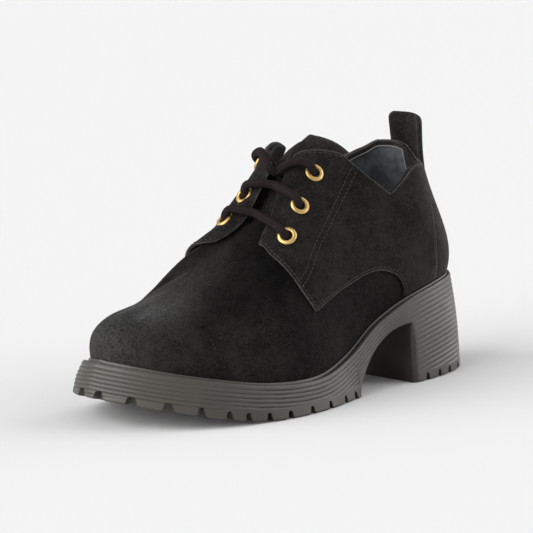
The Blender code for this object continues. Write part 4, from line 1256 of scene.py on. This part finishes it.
def named_direction(tree, name):
    return node(tree, "GeometryNodeInputNamedAttribute", {"Name": name}, data_type="FLOAT_VECTOR").outputs[0]


def end_tree(tree, source, output, points, rotation):
    """Copies a shape to points, turned, and gives the copies their material."""
    shape = node(tree, "GeometryNodeObjectInfo", {"Object": source.outputs["Shape"]})
    copies = node(tree, "GeometryNodeInstanceOnPoints",
                  {"Points": points, "Instance": shape.outputs["Geometry"], "Rotation": rotation})
    real = node(tree, "GeometryNodeRealizeInstances", {"Geometry": copies.outputs[0]})
    made = node(tree, "GeometryNodeSetMaterial",
                {"Geometry": real.outputs[0], "Material": source.outputs["Material"]})
    tree.links.new(made.outputs[0], output.inputs[0])


def make_eyelet_tree():
    """Sets a copy of the ring on each point, its axis along the point's stored direction."""
    tree, source, output = geometry_tree(
        "eyelet_rings", [("Shape", "NodeSocketObject"), ("Material", "NodeSocketMaterial")])
    turned = node(tree, "FunctionNodeAlignRotationToVector", {"Vector": named_direction(tree, "facing")}, axis="Z")
    end_tree(tree, source, output, source.outputs["Geometry"], turned.outputs[0])
    return tree


def make_stitch_tree():
    """Lays stitches evenly along polylines, flat on the surface they run over."""
    tree, source, output = geometry_tree(
        "stitch_rows", [("Pitch", "NodeSocketFloat"), ("Shape", "NodeSocketObject"),
                        ("Material", "NodeSocketMaterial")])
    line = node(tree, "GeometryNodeMeshToCurve", {"Mesh": source.outputs["Geometry"]})
    even = node(tree, "GeometryNodeResampleCurve",
                {"Curve": line.outputs[0], "Length": source.outputs["Pitch"]}, mode="LENGTH")
    dots = node(tree, "GeometryNodeCurveToPoints", {"Curve": even.outputs[0]}, mode="EVALUATED")
    turned = node(tree, "FunctionNodeAxesToRotation",
                  {"Primary Axis": dots.outputs["Tangent"], "Secondary Axis": named_direction(tree, "facing")},
                  primary_axis="X", secondary_axis="Z")
    end_tree(tree, source, output, dots.outputs["Points"], turned.outputs[0])
    return tree


def set_directions(piece, directions):
    layer = piece.data.attributes.new("facing", "FLOAT_VECTOR", "POINT")
    layer.data.foreach_set("vector", np.asarray(directions, np.float32).ravel())


def run_tree(piece, tree, shape, values):
    """Runs a Geometry Nodes tree on a piece, keeps the result as its mesh and removes the copied shape."""
    values = {"Shape": shape, **values}
    step = piece.modifiers.new(tree.name, "NODES")
    step.node_group = tree
    for item in tree.interface.items_tree:
        if item.in_out == "INPUT" and item.name in values:
            step[item.identifier] = values[item.name]
    piece.update_tag()
    bpy.context.view_layer.update()
    finish_mesh(piece)
    bpy.data.objects.remove(shape)


EYELET_SIDES, EYELET_WELD = 40, 0.001
INNER_SINK = 0.5


def make_ring_shape():
    """One eyelet about its own origin, its face along Z."""
    turns = np.linspace(0, 2 * np.pi, EYELET_SIDES, endpoint=False)[:, None]
    radius, height = np.array(EYELET_PROFILE + EYELET_PROFILE[:1]).T
    points = np.stack([radius * np.cos(turns), radius * np.sin(turns), height + 0 * turns], -1)
    piece = make_object("eyelet_shape", points + CENTRE, grid_faces(*points.shape[:2], closed=True))
    tidy_mesh(piece, EYELET_WELD)
    piece.data.shade_smooth()
    return piece


def make_eyelets():
    """The six rings, those of the inner flap bedded a little deeper."""
    spots = [(centre - out * sink, out) for which, sink in (("lat", 0.0), ("med", INNER_SINK))
             for centre, out in frames[which]]
    piece = make_object("brass_eyelets", np.array([centre for centre, _ in spots]), [])
    set_directions(piece, np.array([out for _, out in spots]))
    run_tree(piece, make_eyelet_tree(), make_ring_shape(), {"Material": BRASS})
    return piece


LACE_RADIUS, LACE_SIDES, LACE_STEP, LACE_SMOOTH = 2.35, 72, 0.18, 110
STRANDS, STRAND_PITCH, STRAND_RELIEF, CROSS_SHARE = 3, 1.05, 0.32, 0.4
# An end's way into its eyelet: distance along the eyelet's axis and toward the bar
LACE_DIVE = [(-3.2, 0.0), (0.1, 0.5), (2.0, 2.0)]
# Lace bars between their outer and inner eyelets: side, station, height, distance off the upper
LACE_BARS = [
    [("lat", 8.30, 0.682, 5.8), ("lat", 8.52, 0.762, 5.2), ("lat", 8.82, 0.858, 5.0), ("lat", 9.02, 0.935, 5.2),
     ("med", 9.06, 0.965, 5.0), ("med", 8.86, 0.905, 6.0)],
    [("lat", 7.80, 0.718, 5.8), ("lat", 7.96, 0.77, 5.2), ("lat", 8.18, 0.854, 5.0), ("lat", 8.40, 0.935, 5.2),
     ("med", 8.5, 0.968, 4.8), ("med", 8.2, 0.88, 6.0)],
    [("lat", 7.2, 0.795, 5.9), ("lat", 7.5, 0.845, 5.7), ("lat", 7.8, 0.894, 5.2), ("lat", 8.12, 0.948, 4.4),
     ("lat", 8.3, 0.985, 3.6), ("med", 8.3, 0.992, 4.4), ("med", 8.1, 0.965, 5.2), ("med", 7.85, 0.93, 5.7),
     ("med", 7.62, 0.895, 4.8), ("med", 7.36, 0.836, 4.6)],
]


def even_rows(rows):
    """Points at even steps along a polyline, and their distances along it."""
    length = np.append(0, np.cumsum(np.linalg.norm(np.diff(rows, axis=0), axis=1)))
    even = np.linspace(0, length[-1], int(length[-1] / LACE_STEP))
    return np.stack([np.interp(even, length, rows[:, k]) for k in range(3)], -1), even


def lace_path(bar, number):
    """Even points of a bar that dips into an eyelet at each end."""
    knots = []
    for which, s, t, out in bar:
        u, t = np.array(turn(which, s), float), np.array(t)
        knots.append(skin(u, t, out + flap_open(u, t))[0])
    for which, end in (("lat", 0), ("med", -1)):
        centre, out = frames[which][number]
        toward = knots[end] - centre
        toward = unit(toward - out * (toward @ out))
        dive = [centre + out * a + toward * b for a, b in LACE_DIVE]
        knots = dive + knots if end == 0 else knots + dive[::-1]
    knots = np.array(knots)
    rows = even_rows(through(knots)(np.linspace(0, len(knots) - 1, 400)))[0]
    return even_rows(smoothed(rows, LACE_SMOOTH))


def make_lace(bar, number):
    """Round braided cord: two families of strands that cross round the tube."""
    path, along = lace_path(bar, number)
    tangent = unit(np.gradient(path, axis=0))
    side = [unit(np.cross(tangent[0], UP))]
    for v in tangent[1:]:
        side.append(unit(side[-1] - v * (side[-1] @ v)))
    other = np.cross(tangent, side)
    angle = np.linspace(0, 2 * np.pi, LACE_SIDES, endpoint=False)[:, None]
    one, two = [np.cos(STRANDS * angle + way * 2 * np.pi * along / STRAND_PITCH) for way in (1, -1)]
    strand = 0.5 + 0.5 * np.maximum(one, CROSS_SHARE * two)
    radius = (LACE_RADIUS - STRAND_RELIEF * (1 - strand))[..., None]
    points = path + radius * (np.cos(angle)[..., None] * side + np.sin(angle)[..., None] * other)
    piece = make_object("lace_cord_%d" % (number + 1), points, tube_faces(LACE_SIDES, len(path)))
    # strand height, also the painted shade in the gaps between strands
    set_values(piece, "strand", strand)
    tidy_mesh(piece)
    piece.data.materials.append(CORD)
    piece.data.shade_smooth()
    return piece


eyelets = make_eyelets()
laces = [make_lace(bar, number) for number, bar in enumerate(LACE_BARS)]


# ---- Stitches ----

# Stitch: sides round it, places along it with its share of full size, and how far its belly sinks
STITCH_SIDES = 6
STITCH_PROFILE = [(-0.5, 0.25), (-0.36, 0.8), (0.0, 1.0), (0.36, 0.8), (0.5, 0.25)]
STITCH_SINK = 0.35


def stitch_shape(length, width, height):
    """Short arched stitch along X, its belly sunk."""
    angle = np.linspace(0, 2 * np.pi, STITCH_SIDES, endpoint=False)[:, None]
    x, size = np.array(STITCH_PROFILE).T
    lift = height * (0.5 * size - STITCH_SINK)
    points = np.stack([x * length + 0 * angle, width / 2 * size * np.cos(angle),
                       lift + height / 2 * size * np.sin(angle)], -1)
    piece = make_object("stitch_shape", points + CENTRE, tube_faces(STITCH_SIDES, len(x)))
    tidy_mesh(piece)
    return piece


stitch_tree = make_stitch_tree()


def sew(name, material, runs, pitch, **size):
    """Stitches of a length, width and height along runs of points and their facings."""
    points, facing, edges = [], [], []
    for run_points, run_facing in runs:
        edges += [(len(points) + i, len(points) + i + 1) for i in range(len(run_points) - 1)]
        points += list(run_points)
        facing += list(run_facing)
    piece = make_object(name, np.array(points), [], edges)
    set_directions(piece, facing)
    run_tree(piece, stitch_tree, stitch_shape(**size), {"Pitch": pitch * MM, "Material": material})
    return piece


# Backstay's seam: its lowest height, its top on each side, points in a row and depth below the panels' face
SEAM_FOOT, SEAM_TOPS, SEAM_POINTS, SEAM_DEPTH = 0.03, {"lat": 0.735, "med": 0.815}, 100, 0.4
# Rim's stitches lie in the channel between lip and shoulder
CHANNEL_POINTS, CHANNEL_DEPTH = 600, 0.8


def back_seam(which):
    t = np.linspace(SEAM_FOOT, SEAM_TOPS[which], SEAM_POINTS)
    return skin(turn(which, backstay_at(t)), t, np.full(t.shape, PANEL_OUT - SEAM_DEPTH))


def rim_channel():
    u = np.linspace(0.0, ROUND, CHANNEL_POINTS)
    s = station(u)
    out = (LIP_START(s) + LIP_WIDTH(s) * LIP_PROFILE[-1][0] + LEDGE - SHOULDER_PROFILE[0][0]) / 2
    z = feather_at(s)[:, 4] - CHANNEL_DEPTH
    points = raised(around(u) + outward(u) * out[:, None], z)
    return points, np.broadcast_to(UP, points.shape)


quarter_seams = [on_panel(which, *seam) for which in SIDES for seam in QUARTER_SEAMS[which]]
stitches = sew("seam_stitches", THREAD, quarter_seams, pitch=2.6, length=2.0, width=0.5, height=0.42)
back_stitches = sew("backstay_stitches", BACK_THREAD, map(back_seam, SIDES),
                    pitch=1.5, length=1.6, width=0.8, height=0.7)
hem_stitches = sew("facing_stitches", HEM_THREAD, [(hem_points, hem_facing)],
                   pitch=1.15, length=1.3, width=0.75, height=0.5)
rim_stitches = sew("rim_stitches", RIM_THREAD, [rim_channel()], pitch=2.1, length=1.3, width=1.0, height=0.7)


# ---- Stage ----

def aim(thing, place, target):
    thing.location = Vector(place)
    thing.rotation_euler = (Vector(target) - Vector(place)).to_track_quat("-Z", "Y").to_euler()


target = (np.array(CAMERA_TARGET) - CENTRE) * MM
azimuth, elevation = math.radians(CAMERA_AZIMUTH), math.radians(CAMERA_ELEVATION)
back = np.array([math.cos(elevation) * math.cos(azimuth), math.cos(elevation) * math.sin(azimuth),
                 math.sin(elevation)])
right = np.array([-math.sin(azimuth), math.cos(azimuth), 0.0])
lens = bpy.data.cameras.new("photo_camera")
lens.lens = CAMERA_LENS
lens.sensor_width = 36.0
lens.clip_end = 50.0
camera = add_object("photo_camera", lens)
aim(camera, target + back * CAMERA_DISTANCE * MM, target)
bpy.context.scene.camera = camera


def soft_sun(name, direction, level, angle):
    """Distant soft light that gives an even floor; level is the floor's share when it stands overhead."""
    light = bpy.data.lights.new(name, "SUN")
    light.energy = level * math.pi
    light.angle = math.radians(angle)
    aim(add_object(name, light), target + unit(direction), target)


soft_sun("light_toe", -right * 0.87 + back * 0.5 + UP * 0.32, level=1.2, angle=70)
soft_sun("light_heel", right * 0.94 - back * 0.35 + UP * 0.36, level=0.68, angle=70)
soft_sun("light_top", UP - back * 0.2, level=0.06, angle=90)

# Floor's half width in metres and grey, and the world's level for lighting and as seen behind the shoe
FLOOR_HALF, FLOOR_GREY = 6, (0.80, 0.80, 0.80, 1)
FILL_LEVEL, BACKDROP_LEVEL = 0.4, 0.9
floor_mesh = bpy.data.meshes.new("studio_floor")
corners = [(x * FLOOR_HALF, y * FLOOR_HALF, 0) for x, y in ((-1, -1), (1, -1), (1, 1), (-1, 1))]
floor_mesh.from_pydata(corners, [], [(0, 1, 2, 3)])
floor = add_object("studio_floor", floor_mesh)
paper, paper_tree, paper_shader, _ = new_material("studio_paper")
connect(paper_tree, paper_shader, {"Base Color": FLOOR_GREY, "Roughness": 0.9})
floor_mesh.materials.append(paper)

world = bpy.data.worlds.new("studio")
world.use_nodes = True
sky = world.node_tree
is_seen = node(sky, "ShaderNodeLightPath").outputs["Is Camera Ray"]
level = node(sky, "ShaderNodeMapRange", {"Value": is_seen, "To Min": FILL_LEVEL, "To Max": BACKDROP_LEVEL})
connect(sky, sky.nodes["Background"], {"Color": (1, 1, 1, 1), "Strength": level.outputs["Result"]})
bpy.context.scene.world = world
bpy.context.scene.view_settings.view_transform = "Standard"


# ---- Pieces of the part ----

def declare(piece, slot, *nodes):
    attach(piece, "root")
    if nodes:
        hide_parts(*nodes)


declare(upper, "suede", "upper")
declare(quarters["lat"], "suede", "quarter_lateral")
declare(quarters["med"], "suede", "quarter_medial")
declare(backstay, "suede", "backstay")
declare(tongue, "suede", "tongue")
declare(tab, "suede", "pull_tab")
declare(insole, "lining", "insole")
declare(sole, "rubber", "sole_unit")
declare(eyelets, "brass", *["eyelet_%s_%d" % (side, k) for side in ("lateral", "medial") for k in (1, 2, 3)])
for k, lace in enumerate(laces, 1):
    declare(lace, "lace", "lace_bar_%d" % k)
declare(facing, "suede")
declare(stitches, "suede")
declare(back_stitches, "suede")
declare(hem_stitches, "suede")
declare(rim_stitches, "rubber")
